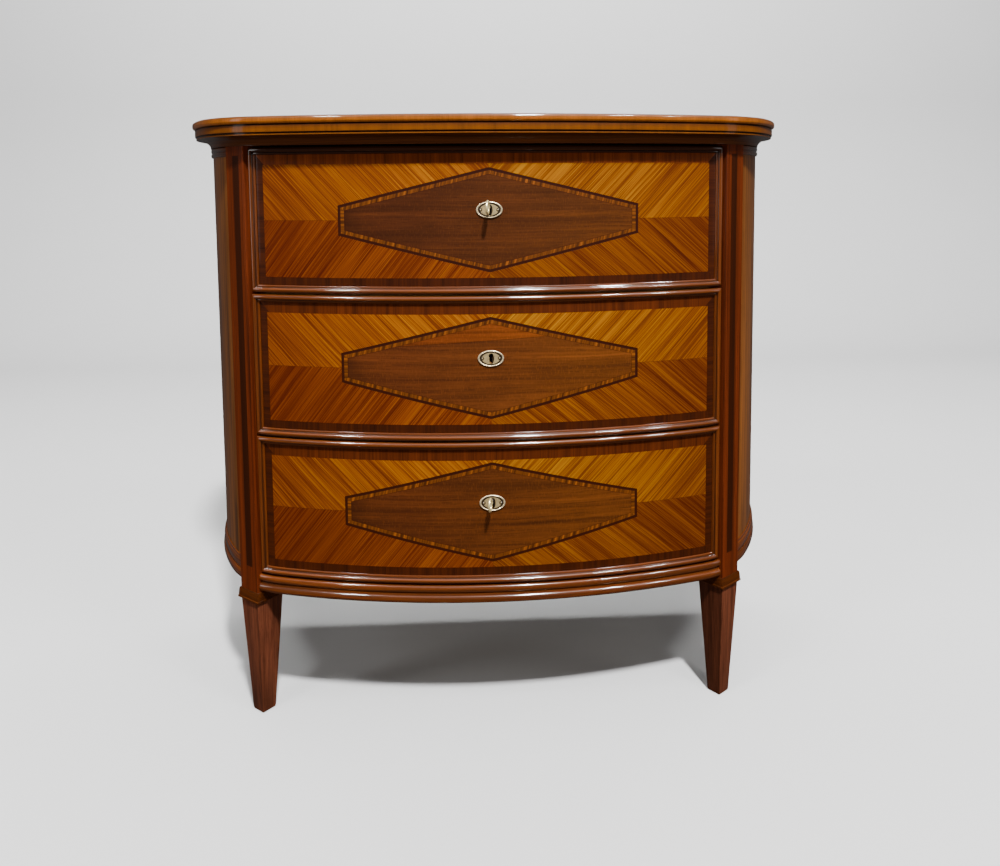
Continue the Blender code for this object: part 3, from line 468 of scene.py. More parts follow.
def poly_curve(name, points, closed):
    """A curve object through flat points."""
    curve = bpy.data.curves.new(name, 'CURVE')
    curve.dimensions = '3D'
    spline = curve.splines.new('POLY')
    spline.points.add(len(points) - 1)
    for target, (x, y) in zip(spline.points, points):
        target.co = (x, y, 0.0, 1.0)
    spline.use_cyclic_u = closed
    return new_object(name, curve)


def plan_curve():
    """The face of the chest in plan as a curve, from the left back to the right back."""
    right = [point for _, point, _ in HALF_PLAN]
    # the straight return has steps too, so that the curve's direction stays true along it
    corner, end = right[-2], right[-1]
    right = right[:-1] + [corner.lerp(end, step / 12) for step in range(1, 13)]
    poly_curve("plan", [(-point.x, point.y) for point in right[:0:-1]] + right, False)


def wrap_tree(name, sweeps):
    """Tree that wraps a flat piece round the plan; one that sweeps first draws a section along X."""
    tree = bpy.data.node_groups.new(name, 'GeometryNodeTree')
    tree.interface.new_socket("Geometry", in_out='OUTPUT', socket_type='NodeSocketGeometry')
    inputs = [("Geometry", 'Geometry'), ("Plan", 'Object'), ("Finish", 'Material')]
    if sweeps:
        inputs += [("Section", 'Object'), ("Start", 'Float'), ("End", 'Float'), ("Column", 'Float')]
    for label, kind in inputs:
        tree.interface.new_socket(label, in_out='INPUT', socket_type='NodeSocket' + kind)
    entry = add_node(tree, 'NodeGroupInput').outputs
    plan = wire(tree, 'GeometryNodeObjectInfo', {'Object': entry["Plan"]}, 'Geometry')
    geometry = entry["Geometry"]
    if sweeps:
        start = wire(tree, 'ShaderNodeCombineXYZ', {0: entry["Start"]})
        end = wire(tree, 'ShaderNodeCombineXYZ', {0: entry["End"]})
        line = wire(tree, 'GeometryNodeCurvePrimitiveLine', {'Start': start, 'End': end})
        fine = wire(tree, 'GeometryNodeResampleCurve', {'Curve': line, 'Length': entry["Column"]},
                    mode='LENGTH')
        section = wire(tree, 'GeometryNodeObjectInfo', {'Object': entry["Section"]}, 'Geometry')
        swept = wire(tree, 'GeometryNodeCurveToMesh', {'Curve': fine, 'Profile Curve': section,
                                                       'Fill Caps': True})
        x, y, z = separate(wire(tree, 'GeometryNodeInputPosition'))
        geometry = wire(tree, 'GeometryNodeSetPosition',
                        {'Geometry': swept, 'Position': combine(x, z * -1.0, y * -1.0)})
    flat = wire(tree, 'GeometryNodeInputPosition')
    kept = wire(tree, 'GeometryNodeStoreNamedAttribute',
                {'Geometry': geometry, 'Name': "place", 'Value': flat},
                data_type='FLOAT_VECTOR', domain='POINT')
    run, height, reach = separate(flat)
    along = run + wire(tree, 'GeometryNodeCurveLength', {0: plan}) * 0.5
    sample = add_node(tree, 'GeometryNodeSampleCurve', {'Curves': plan, 'Length': along},
                      mode='LENGTH').outputs
    normal = wire(tree, 'ShaderNodeVectorMath', {0: sample['Tangent'], 1: (0.0, 0.0, 1.0)},
                  operation='CROSS_PRODUCT')
    step = wire(tree, 'ShaderNodeVectorMath', {0: normal, 'Scale': reach}, operation='SCALE')
    level = wire(tree, 'ShaderNodeVectorMath', {0: sample['Position'], 1: step})
    raised = wire(tree, 'ShaderNodeVectorMath', {0: level, 1: combine(0.0, 0.0, height)})
    bent = wire(tree, 'GeometryNodeSetPosition', {'Geometry': kept, 'Position': raised})
    real = wire(tree, 'GeometryNodeRealizeInstances', {'Geometry': bent})
    dressed = wire(tree, 'GeometryNodeSetMaterial', {'Geometry': real, 'Material': entry["Finish"]})
    add_node(tree, 'NodeGroupOutput', {0: dressed})


def bend(source, name, group, finish, values=None):
    """A piece made by one of the trees from a source object."""
    modifier = source.modifiers.new(group, 'NODES')
    modifier.node_group = bpy.data.node_groups[group]
    values = dict(values or {}, Plan=bpy.data.objects["plan"], Finish=finish)
    for item in modifier.node_group.interface.items_tree:
        if item.in_out == 'INPUT' and item.name in values:
            modifier[item.identifier] = values.pop(item.name)
    if values:
        raise ValueError("no inputs named " + ", ".join(values))
    return baked(source, name, finish)


def wrap(name, mesh, finish):
    """A flat mesh wrapped round the chest, as a finished piece."""
    return bend(new_object(name + "_flat", mesh), name, "wrap_round_chest", finish)


def sweep(name, section, start, end, finish):
    """A section of (reach, height) points drawn along the face of the chest."""
    source = new_object(name + "_flat", bpy.data.meshes.new(name))
    drawn = poly_curve(name + "_section", section, True)
    piece = bend(source, name, "moulding_round_chest", finish,
                 {"Section": drawn, "Start": start, "End": end, "Column": COLUMN})
    bpy.data.objects.remove(drawn, do_unlink=True)
    return piece


def in_columns(mesh, name):
    """A flat mesh cut into columns, so that it can bend."""
    bm = bmesh.new()
    bm.from_mesh(mesh)
    runs = [vertex.co.x for vertex in bm.verts]
    low, high = min(runs), max(runs)
    count = max(1, round((high - low) / COLUMN))
    for step in range(1, count):
        run = low + (high - low) * step / count
        bmesh.ops.bisect_plane(bm, geom=bm.verts[:] + bm.edges[:] + bm.faces[:], dist=0.00001,
                               plane_co=(run, 0.0, 0.0), plane_no=(1.0, 0.0, 0.0))
    return to_mesh(bm, name)


def skin(bm, rings, round_again=True):
    """Faces from each ring of points to the next; round_again joins a ring's last point to its first."""
    for ring, following in zip(rings, rings[1:]):
        for index in range(len(ring) - (not round_again)):
            after = (index + 1) % len(ring)
            bm.faces.new((ring[index], ring[after], following[after], following[index]))


def solid(name, rings, loop=False):
    """A closed mesh through rings; in a loop the last ring meets the first, or else both are capped."""
    bm = bmesh.new()
    rings = [[bm.verts.new(point) for point in ring] for ring in rings]
    skin(bm, rings + rings[:1] if loop else rings)
    if not loop:
        bm.faces.new(rings[0][::-1])
        bm.faces.new(rings[-1])
    bmesh.ops.recalc_face_normals(bm, faces=bm.faces)
    return to_mesh(bm, name)


def prism(name, outline, back, front):
    """A flat outline of (run, height) points given a thickness from back to front."""
    bm = bmesh.new()
    face = bm.faces.new([bm.verts.new((x, y, back)) for x, y in outline])
    grown = bmesh.ops.extrude_face_region(bm, geom=[face])["geom"]
    moved = [item for item in grown if isinstance(item, bmesh.types.BMVert)]
    bmesh.ops.translate(bm, vec=(0.0, 0.0, front - back), verts=moved)
    bmesh.ops.recalc_face_normals(bm, faces=bm.faces)
    return to_mesh(bm, name)


def lathe(points, segments):
    """A shape turned round the Z axis from (radius, height) points."""
    return solid("turned", [[(radius * cos(turn), radius * sin(turn), height)
                             for turn in turns(2 * pi, segments)[:-1]] for radius, height in points])


def cut(mesh, tools, operation='DIFFERENCE'):
    """A mesh cut by other meshes, or joined to them."""
    piece = new_object("to_cut", mesh)
    helpers = [new_object("tool", tool) for tool in tools]
    for helper in helpers:
        modifier = piece.modifiers.new("cut", 'BOOLEAN')
        modifier.operation = operation
        modifier.solver = 'EXACT'
        modifier.object = helper
    result = final_mesh(piece)
    for item in helpers + [piece]:
        bpy.data.objects.remove(item, do_unlink=True)
    return result


def rounded(points, radius, steps=3):
    """A closed outline whose corners are rounded, but for those too flat or too close to another."""
    result = []
    for index, point in enumerate(points):
        here = Vector(point)
        before = Vector(points[index - 1]) - here
        after = Vector(points[(index + 1) % len(points)]) - here
        reach = min(radius, before.length * 0.45, after.length * 0.45)
        if before.length < 0.0004 or after.length < 0.0004 or abs(before.angle(after) - pi) < 0.35:
            result.append(point)
            continue
        first = here + before.normalized() * reach
        last = here + after.normalized() * reach
        for step in range(steps + 1):
            share = step / steps
            curve = first.lerp(here, share).lerp(here.lerp(last, share), share)
            result.append((curve.x, curve.y))
    return result


def half_round(base, crest, low, high, steps=12):
    """Points of a bead between two heights, from the top down."""
    middle, half = (low + high) / 2, (high - low) / 2
    return [(base + (crest - base) * sin(turn), middle + half * cos(turn)) for turn in turns(pi, steps)]


# Sections of the mouldings, as (reach, height) points

def cornice_section():
    """Quirk, fascia, groove, fillet and cove, from the top outside corner down and back up inside."""
    top = SLAB_BOTTOM - JOINT
    quirk, fascia, groove, fillet, cove_top, cove_foot = 0.0250, 0.0283, 0.0253, 0.0268, 0.0260, 0.0070
    outside = rounded([(quirk, top), (quirk, QUIRK_BOTTOM), (fascia, QUIRK_BOTTOM), (fascia, FASCIA_BOTTOM),
                       (groove, FASCIA_BOTTOM), (groove, GROOVE_BOTTOM), (fillet, GROOVE_BOTTOM),
                       (fillet, FILLET_BOTTOM), (cove_top, FILLET_BOTTOM)], 0.0006)
    cove = [(cove_foot + (cove_top - cove_foot) * (1 - sin(turn)),
             CORNICE_BOTTOM + (FILLET_BOTTOM - CORNICE_BOTTOM) * cos(turn)) for turn in turns(pi / 2, 12)[1:]]
    # the top corner stays square, and the last point of its rounding lies on the quirk
    return ([(quirk, top)] + outside[3:] + cove
            + [(-PANEL_THICKNESS, CORNICE_BOTTOM), (-PANEL_THICKNESS, top)])


def base_section():
    """Bead over a groove over a rounded band."""
    bead_foot, band_top = BASE_TOP - 0.0090, BASE_TOP - 0.0134
    groove = [(0.0028, bead_foot - 0.0001), (0.0026, bead_foot - 0.0013), (0.0040, bead_foot - 0.0015),
              (0.0044, band_top + 0.0004)]
    return ([(-PANEL_THICKNESS, BASE_BOTTOM), (-PANEL_THICKNESS, BASE_TOP)]
            + half_round(0.0042, 0.0070, bead_foot, BASE_TOP) + groove
            + half_round(0.0045, 0.0078, BASE_BOTTOM, band_top))


def side_base_section():
    """Groove over a rounded band; it stops higher than the front's."""
    band_top, bottom = BASE_TOP - 0.0024, BASE_BOTTOM + 0.0091
    return [(-PANEL_THICKNESS, bottom), (-PANEL_THICKNESS, BASE_TOP), (0.0064, BASE_TOP),
            (0.0064, band_top + 0.0002)] + half_round(0.0074, 0.0095, bottom, band_top)


def necking_section():
    """Two small beads."""
    root, top, bottom = SIDE_REACH + JOINT, CORNICE_BOTTOM - JOINT, CORNICE_BOTTOM - 0.0135
    pitch = (top - bottom) / 2
    section = [(root, bottom), (root, top)]
    for high in (top, top - pitch):
        section += half_round(0.0054, 0.0070, high - pitch + JOINT, high - JOINT, 8)
    return section


def side_bead_section():
    """Bead with a fillet over it."""
    root, bottom, bead_top, top = SIDE_REACH + JOINT, BASE_TOP + JOINT, BASE_TOP + 0.0130, BASE_TOP + 0.0175
    fillet = [(0.0052, top), (0.0058, top - 0.0007), (0.0058, bead_top + 0.0004)]
    return [(root, bottom), (root, top)] + fillet + half_round(0.0060, 0.0080, bottom, bead_top)


def panel_section():
    """Side panel between the base and the cornice."""
    low, high = BASE_TOP + JOINT, CORNICE_BOTTOM - JOINT
    return [(-PANEL_THICKNESS, low), (SIDE_REACH, low), (SIDE_REACH, high), (-PANEL_THICKNESS, high)]


# Inset from the outside and height of the drawer moulding; its quirk lies between these two insets
FRAME_QUIRK = (0.0064, 0.0072)
FRAME_SECTION = [
    (0.0000, 0.0003), (0.0000, 0.0026), (0.0003, 0.0037), (0.0010, 0.0048), (0.0020, 0.0055),
    (0.0031, 0.0059), (0.0041, 0.0060), (0.0050, 0.0057), (0.0058, 0.0051), (0.0064, 0.0042),
    (0.0067, 0.0031), (0.0069, 0.0024), (0.0072, 0.0022), (0.0078, 0.0023), (0.0086, 0.0022),
    (0.0093, 0.0018), (0.0096, 0.0010), (0.0098, 0.0003)]


# Shapes

def slab_mesh():
    """The half-round slab with its rounded edge; its place holds running length, rise and inset."""
    thickness, nose = SLAB_TOP - SLAB_BOTTOM, 0.0040
    profile = [(EDGE_WIDTH, 0.0)]
    profile += [(nose - nose * sin(turn), nose - nose * cos(turn)) for turn in turns(pi / 2, 6)]
    profile += [(nose - nose * cos(turn), thickness - nose + nose * sin(turn)) for turn in turns(pi / 2, 6)]
    profile += [(inset, thickness) for inset in (EDGE_WIDTH, BAND_END, BAND_END + 0.0065)]
    half = [run for run, _, _ in HALF_PLAN]
    runs = ([-run for run in half[:0:-1]] + half)[::2]
    bm = bmesh.new()
    place = bm.verts.layers.float_vector.new("place")
    rings = []
    for inset, rise in profile:
        rings.append([])
        for run in runs:
            point = on_plan(run, SLAB_OVERHANG - inset)
            vertex = bm.verts.new((point.x, point.y, SLAB_BOTTOM + rise))
            vertex[place] = (run, rise, inset)
            rings[-1].append(vertex)
    skin(bm, rings, False)
    bm.faces.new(rings[-1])
    bm.faces.new(rings[0][::-1])
    bm.faces.new([ring[-1] for ring in rings] + [ring[0] for ring in rings[::-1]])
    bmesh.ops.recalc_face_normals(bm, faces=bm.faces)
    return to_mesh(bm, "slab")


def leg_mesh(width, depth, forward, arris):
    """Post with a tapered leg, rounded long edges and a worn foot, standing upright at the origin."""
    foot, worn = FOOT_WIDTH, FOOT_WEAR
    levels = ((0.0, foot - 2 * worn, foot - 2 * worn, forward),
              (worn * 0.6, foot - worn * 0.6, foot - worn * 0.6, forward),
              (worn * 1.6, foot, foot, forward), (LEG_HEIGHT, width, depth, 0.0),
              (CORNICE_BOTTOM - JOINT, width, depth, 0.0))
    rings = []
    for height, across, deep, ahead in levels:
        rings.append([])
        for quarter, (sx, sy) in enumerate(((1, 1), (-1, 1), (-1, -1), (1, -1))):
            for step in range(5):
                turn = pi / 2 * (quarter + step / 4)
                rings[-1].append((sx * (across / 2 - arris) + arris * cos(turn),
                                  sy * (deep / 2 - arris) + arris * sin(turn) - ahead, height))
    return solid("leg", rings)


def collar_mesh(width, depth):
    """Collar round a post: an ovolo over a thin fillet."""
    inner, ovolo, widest = JOINT, 0.0025, 0.0032
    fillet = LEG_HEIGHT + 0.0030
    section = [(inner, COLLAR_TOP)]
    section += [(inner + (ovolo - inner) * (0.15 + 0.85 * sin(turn)),
                 fillet + (COLLAR_TOP - fillet) * cos(turn)) for turn in turns(pi / 2, 8)]
    section += [(ovolo + 0.0002, fillet), (widest, fillet - 0.0005), (widest, LEG_HEIGHT + 0.0005),
                (widest - 0.0004, LEG_HEIGHT), (inner, LEG_HEIGHT)]
    return solid("collar", [[(sx * (width / 2 + reach), sy * (depth / 2 + reach), height)
                             for sx, sy in ((1, 1), (-1, 1), (-1, -1), (1, -1))]
                            for reach, height in section], loop=True)


def keyhole_tools(start, end, rise):
    """Round hole and slot of a keyhole at a height, along Z."""
    bm = bmesh.new()
    bmesh.ops.create_cone(bm, cap_ends=True, segments=32, radius1=0.0031, radius2=0.0031, depth=end - start)
    bmesh.ops.translate(bm, vec=(0.0, rise, (start + end) / 2), verts=bm.verts)
    slot = [(-0.0019, rise - 0.0103), (0.0019, rise - 0.0103), (0.0017, rise), (-0.0017, rise)]
    return [to_mesh(bm, "hole"), prism("slot", slot, start, end)]


def lozenge_outline(gap):
    """The lozenge's corners, drawn in by a gap."""
    middle = DRAWER_HEIGHT / 2
    length, rise, end = LOZENGE_LENGTH - gap, LOZENGE_RISE - gap, LOZENGE_END_RISE - gap * 0.8
    return [(-length, middle - end), (0.0, middle - rise), (length, middle - end),
            (length, middle + end), (0.0, middle + rise), (-length, middle + end)]


def front_mesh():
    """Flat drawer front with its keyhole and the lozenge's pocket; its ends lie along the posts."""
    half, tall = FRONT_RUN, DRAWER_HEIGHT
    board = prism("front", [(-half, 0.0), (half, 0.0), (half, tall), (-half, tall)], -PANEL_THICKNESS, 0.0)
    mesh = cut(board, [prism("pocket", lozenge_outline(0.0), -VENEER, OVERRUN)]
               + keyhole_tools(-KEYHOLE_DEPTH, OVERRUN, KEYHOLE_UP))
    face_end, back_end = front_end(0.0), front_end(-PANEL_THICKNESS)
    for vertex in mesh.vertices:
        if abs(abs(vertex.co.x) - half) < 0.00001:
            end = face_end if vertex.co.z > -PANEL_THICKNESS / 2 else back_end
            vertex.co.x = end if vertex.co.x > 0.0 else -end
    return in_columns(mesh, "front")


def lozenge_mesh():
    """Flat lozenge with its keyhole."""
    gap = 0.00005
    return in_columns(cut(prism("lozenge", lozenge_outline(gap), -VENEER + gap, gap),
                          keyhole_tools(-KEYHOLE_DEPTH, OVERRUN, KEYHOLE_UP)), "lozenge")


def frame_mesh():
    """Mitred frame of moulding, flat."""
    half, tall = FRONT_RUN, DRAWER_HEIGHT
    rings = [[(-half + inset, inset, height), (half - inset, inset, height),
              (half - inset, tall - inset, height), (-half + inset, tall - inset, height)]
             for inset, height in FRAME_SECTION]
    return in_columns(solid("frame", rings, loop=True), "frame")


def plate_mesh():
    """Oval plate with a rounded rim, two domed pins and its keyhole; Z stands out from the drawer."""
    mesh = lathe([(1.0, 0.0004), (1.0, 0.0012), (0.985, 0.0018), (0.955, 0.0021), (0.92, 0.0022),
                  (0.885, 0.0019), (0.86, 0.0014), (0.85, 0.0012)], 64)
    mesh.transform(Matrix.Diagonal((PLATE_HALF_WIDTH, PLATE_HALF_HEIGHT, 1.0, 1.0)))
    pins = []
    for _, sign in SIDES:
        pin = lathe([(0.0016, 0.0006), (0.0016, 0.0013), (0.0014, 0.0018), (0.0009, 0.0021),
                     (0.0003, 0.0022)], 20)
        pin.transform(Matrix.Translation((sign * PIN_OUT, 0.0, 0.0)))
        pins.append(pin)
    return cut(cut(mesh, pins, 'UNION'), keyhole_tools(-OVERRUN, OVERRUN, KEYHOLE_UP - PLATE_HEIGHT_UP))


def key_mesh(lean):
    """Key with an oval bow that leans aside; its stem lies along Y and its bit points down."""
    stem = lathe([(0.0020, 0.0242), (0.0020, 0.0010), (0.0020, -0.0027), (0.0032, -0.0029),
                  (0.0035, -0.0036), (0.0032, -0.0044), (0.0024, -0.0047), (0.0022, -0.0054),
                  (0.0029, -0.0058), (0.0030, -0.0064), (0.0024, -0.0070), (0.0018, -0.0078),
                  (0.0019, -0.0105)], 24)
    # Z runs into the lock here, so that a quarter turn lays the stem along Y
    stem.transform(Matrix.Rotation(-pi / 2, 4, 'X'))
    centre, thick = -0.0185, 0.0019
    tall, deep = 0.00975 - thick, 0.0085 - thick
    sideways = Vector((thick * 0.85, 0.0, 0.0))
    rings = []
    for turn in turns(2 * pi, 40)[:-1]:
        middle = Vector((0.0, centre + deep * cos(turn), tall * sin(turn)))
        out = Vector((0.0, cos(turn) * tall, sin(turn) * deep)).normalized()
        rings.append([middle + out * thick * cos(around) + sideways * sin(around)
                      for around in turns(2 * pi, 12)[:-1]])
    bit = prism("bit", [(0.0190, 0.0), (0.0190, -0.0092), (0.0203, -0.0092), (0.0203, -0.0070),
                        (0.0215, -0.0070), (0.0215, -0.0092), (0.0236, -0.0092), (0.0236, 0.0)],
                -0.0009, 0.0009)
    bit.transform(Matrix(((0, 0, 1, 0), (1, 0, 0, 0), (0, 1, 0, 0), (0, 0, 0, 1))))
    mesh = cut(stem, [solid("bow", rings, loop=True), bit], 'UNION')
    plate_face = -0.003
    for vertex in mesh.vertices:
        vertex.co.x += lean * min(0.0, vertex.co.y - plate_face)
    return mesh


# Finishes

def streaks(along, across, depth, fineness, seed):
    """Straight grain and its pores: 0 to 1 values that change fast across and slowly along."""
    vector = combine(along, across, depth)
    sway = noise(stretch(vector, (7.0, 22.0, 22.0), (seed, seed, 0.0)), 1.0, 2.0)
    bent = across + (sway - 0.5) * 0.006
    vector = combine(along, bent, depth)
    wide = noise(stretch(vector, (2.0, fineness * 0.3, fineness * 0.3), (seed, 0.0, seed)), 1.0, 2.0, 0.6)
    fine = noise(stretch(vector, (5.0, fineness, fineness), (0.0, seed, seed)), 1.0, 4.0, 0.65)
    pores = noise(stretch(vector, (60.0, fineness * 3.0, fineness * 3.0), (seed, seed, seed)), 1.0, 2.0)
    return wide * 0.45 + fine * 0.55, pores


def grained(grain, colour, dark, middle, light, at=0.5, spread=0.16):
    """A wood's colour along its grain, as shades of one colour; a small spread gives more contrast."""
    return ramp(between(grain, 0.5 - spread, 0.5 + spread),
                [(0.0, shade(colour, dark)), (at, shade(colour, middle)), (1.0, shade(colour, light))])


def plain_wood(name, colour, axis='X', flat=True, contrast=1.0, fineness=300.0, darken=None, **finish):
    """One wood with straight grain along an axis of its place."""
    material, shader = new_material(name)
    x, y, z = separate(flat_place(shader) if flat else object_place(shader))
    order = {'X': (x, y, z), 'Y': (y, z, x), 'Z': (z, x, y)}[axis]
    grain, pores = streaks(*order, fineness, len(name) * 1.7)
    tone = grained(grain, colour, 0.38, 0.9, 1.55, 0.45, 0.16 / contrast)
    tone = mix(between(pores, 0.60, 0.72, 0.0, 0.55), tone, shade(colour, 0.3))
    if darken is not None:
        tone = darken(tone, x, y, z)
    polish(shader, tone, grain, **finish)
    return material


def bare_wood(name, colour, axis):
    """Unpolished wood of the inside."""
    return plain_wood(name, colour, axis, False, 0.9, 160.0, coat=0.0, roughness=0.62)


def quartered(run, height, seed):
    """Tulipwood quartered about the middle: its colour and grain at a length and height from the middle."""
    colours, sizes = settings()
    side, rise = abs(run), abs(height)
    above, right = height > 0.0, run > 0.0
    # the lower quarters lean a little less on the right and a little more on the left
    angle = (1.0 - above) * (0.5 - right) * radians(11.0) + sizes.grain_angle
    cosine, sine = angle.math('COSINE'), angle.math('SINE')
    along, across = side * cosine + rise * sine, rise * cosine - side * sine
    leaf = above * 0.011 + right * 0.006
    grain, _ = streaks(along, across, leaf, 430.0, seed)
    fine = noise(combine(along * 6.0, across * 900.0, leaf), 1.0, 2.0, 0.6)
    value = between(grain, 0.36, 0.64) * 0.45 + between(fine, 0.30, 0.70) * 0.55
    tone = ramp(value, [(0.0, shade(colours.tulip_dark, 0.55)), (0.34, colours.tulip_dark),
                        (0.58, colours.tulip_mid), (1.0, colours.tulip_light)])
    # the leaves differ in tone: the upper right is the palest and the lower left the reddest
    upper = mix(right, (0.96, 0.86, 0.8, 1.0), (1.0, 1.08, 1.0, 1.0))
    lower = mix(right, (0.60, 0.39, 0.5, 1.0), (0.66, 0.56, 0.6, 1.0))
    tone = mix(1.0, tone, mix(above, lower, upper), 'MULTIPLY')
    # and each is paler and yellower towards the middle of the drawer
    ends = mix(between(side, 0.10, 0.27), (1.3, 1.5, 1.2, 1.0), (0.9, 0.84, 0.8, 1.0))
    tone = mix(1.0, tone, ends, 'MULTIPLY')
    broad = noise(combine(run, height, seed), 9.0, 2.0)
    return mix(between(broad, 0.4, 0.75, 0.0, 0.25), tone, shade(colours.tulip_dark, 0.9)), grain


def from_edges(run, height):
    """Height from a drawer's middle, and how far in from its ends and from its long edges a point lies."""
    level = height - DRAWER_HEIGHT / 2
    return level, FRONT_RUN - abs(run), DRAWER_HEIGHT / 2 - abs(level)


def drawer_front_finish(name, seed, look):
    """Quartered tulipwood inside a mitred dark crossband."""
    colours, sizes = settings()
    material, shader = new_material(name)
    run, height, reach = separate(flat_place(shader))
    level, to_end, to_edge = from_edges(run, height)
    field, grain = quartered(run, level, seed)
    field = paled(field, look.paleness)
    upright, upper = to_end < to_edge, level > 0.0
    along, across, _ = separate(mix(upright, combine(level, run, 0.0), combine(run, level, 0.0)))
    band_grain, _ = streaks(along, across, 0.0, 420.0, seed + 3.0)
    band = grained(band_grain, colours.crossband, 0.5, 1.0, 1.5)
    # painted light: the upper crossband is made paler, as if lit beneath the mouldings above it
    band = mix(upper * (1.0 - upright), band, paled(band, look.upper_band_painted_light))
    to_field = to_end.math('MINIMUM', to_edge - upper * look.band_width)
    tone = mix(to_field > FRAME_WIDTH + sizes.crossband_width, band, field)
    middle_joint = abs(level) < 0.0003
    tone = mix(middle_joint * 0.6, tone, shade(colours.tulip_dark, 0.5))
    tone = mix(reach < -0.0015, tone, srgb(150, 110, 66))
    polish(shader, tone, grain, coat_roughness=0.05, roughness=0.45, strength=0.08)
    return material


def frame_finish(name, colour, top_bar_painted_shade):
    """Moulding wood whose grain follows each bar of a mitred frame, with painted shade in its quirk and on a
    shaded upper bar.
    """
    material, shader = new_material(name)
    run, height, reach = separate(flat_place(shader))
    level, to_end, to_edge = from_edges(run, height)
    turned = mix(to_end < to_edge, combine(run, level, reach), combine(level, run, reach))
    grain, _ = streaks(*separate(turned), 420.0, 8.0)
    tone = grained(grain, colour, 0.3, 0.9, 1.5, 0.45)
    inset = to_end.math('MINIMUM', to_edge)
    # painted shade in the moulding's quirk
    quirk = (inset > FRAME_QUIRK[0]) * (inset < FRAME_QUIRK[1])
    tone = mix(quirk * 0.7, tone, shade(colour, 0.15))
    # painted shade: the upper bar is darkened as if shadowed by the cornice
    tone = mix(level > DRAWER_HEIGHT / 2 - FRAME_WIDTH, tone, paled(tone, top_bar_painted_shade))
    polish(shader, tone, grain, 1.0, 0.1, 0.4, 0.1, 1.5)
    return material


def lozenge_finish(name, seed, look):
    """Walnut with a ticked light strip and a dark line round it."""
    colours, sizes = settings()
    material, shader = new_material(name)
    run, height, _ = separate(flat_place(shader))
    level = height - DRAWER_HEIGHT / 2
    side, rise = abs(run), abs(level)
    slope = Vector((LOZENGE_RISE - LOZENGE_END_RISE, LOZENGE_LENGTH)).normalized()
    to_slope = LOZENGE_RISE * slope.y - (side * slope.x + rise * slope.y)
    to_end = LOZENGE_LENGTH - side
    inset, at_end = to_slope.math('MINIMUM', to_end), to_end < to_slope
    # the walnut: grain, clouds, pores and upright flecks of figure, a paler right half and a dark left tip
    grain, pores = streaks(run, level, 0.0, 300.0, seed)
    spot = combine(run, level, seed)
    cloud = noise(stretch(spot, (9.0, 26.0, 1.0)), 1.0, 3.0, 0.6)
    fleck = noise(stretch(spot, (620.0, 170.0, 1.0)), 1.0, 2.0, 0.6)
    walnut = grained(grain, colours.walnut, 0.45, 0.92, 1.5, spread=0.17)
    walnut = mix(between(cloud, 0.42, 0.7, 0.0, 0.55), walnut, shade(colours.walnut, 0.5))
    walnut = mix(between(pores, 0.56, 0.68, 0.0, 0.5), walnut, shade(colours.walnut, 0.35))
    walnut = mix(between(fleck, 0.52, 0.7, 0.0, 0.3), walnut, shade(colours.walnut, 1.8))
    paler = mix(between(run, -0.12, 0.12), (1.0, 1.0, 1.0, 1.0), (1.27, 1.4, 1.0, 1.0))
    walnut = paled(mix(1.0, walnut, paler, 'MULTIPLY'), look.walnut)
    walnut = mix(between(run, -0.165, -0.195, 0.0, 0.55), walnut, shade(colours.walnut, 0.25))
    # the paler piece above the joint
    above = level - (run * 0.06 + look.joint)
    walnut = mix(above > 0.0, walnut, tint(walnut, 1.5, 1.3, 0.9))
    walnut = mix((abs(above) < 0.0005) * 0.5, walnut, shade(colours.walnut, 0.4))
    # the strip: blocks of two tones with dark ticks, along whichever side is the nearest
    step = at_end * level + (1.0 - at_end) * (run * slope.y - level * slope.x)
    blocks = noise(combine(step, seed, at_end), 210.0, 1.0, 0.4)
    ticks = noise(combine(step, seed + 2.0, at_end), 620.0, 1.0, 0.5)
    strip = grained(blocks, colours.strip, 0.4, 0.85, 1.8, spread=0.15)
    strip = mix(between(ticks, 0.53, 0.64, 0.0, 0.75), strip, shade(colours.strip, 0.22))
    inner = sizes.string_width + sizes.strip_width
    tone = mix(inset > inner, strip, walnut)
    thin_line = (inset > inner) * (inset < inner + THIN_LINE)
    tone = mix(thin_line * 0.6, tone, colours.stringing)
    tone = mix(inset < sizes.string_width, tone, colours.stringing)
    polish(shader, tone, grain, coat_roughness=0.05, roughness=0.45, strength=0.08)
    return material


def post_finish(name, sign, side_painted_shade):
    """Leg wood with a dark stripe let into the post's outer face; its side faces may carry painted shade."""
    leg = settings()[0].leg

    def stripe(tone, x, y, z):
        leg_or_post = mix(z < LEG_HEIGHT + 0.001, (0.92, 0.74, 1.2, 1.0), (1.1, 1.5, 6.0, 1.0))
        tone = mix(1.0, tone, leg_or_post, 'MULTIPLY')
        side_face = abs(x) * (POST_DEPTH / POST_WIDTH) > abs(y + 0.0006)
        # painted shade: the side faces are darkened, more so on the leg below the collar
        below = between(z, LEG_HEIGHT - 0.004, LEG_HEIGHT, 0.8, 0.35)
        tone = mix(side_face * (below * side_painted_shade), tone, shade(leg, 0.10))
        on_face = (y < -POST_DEPTH / 2 + 0.0004) * (abs(x + sign * STRIPE_SHIFT) < STRIPE_HALF_WIDTH)
        between_ends = (z > STRIPE_BOTTOM) * (z < STRIPE_TOP)
        return mix(on_face * between_ends * 0.9, tone, shade(leg, 0.2))
    return plain_wood(name, leg, 'Z', fineness=380.0, darken=stripe, coat=0.15)


def cross_grain(colour, run, height, seed):
    """Veneer whose grain stands across a narrow edge, in leaves of slightly different tone."""
    fine, _ = streaks(height, run, 0.0, 520.0, seed)
    leaf = noise(combine(run, seed, 0.0), 26.0, 3.0, 0.7)
    value = between(fine, 0.36, 0.64) * 0.5 + between(leaf, 0.32, 0.68) * 0.5
    return ramp(value, [(0.0, shade(colour, 0.6)), (0.5, colour), (1.0, shade(colour, 1.4))]), fine


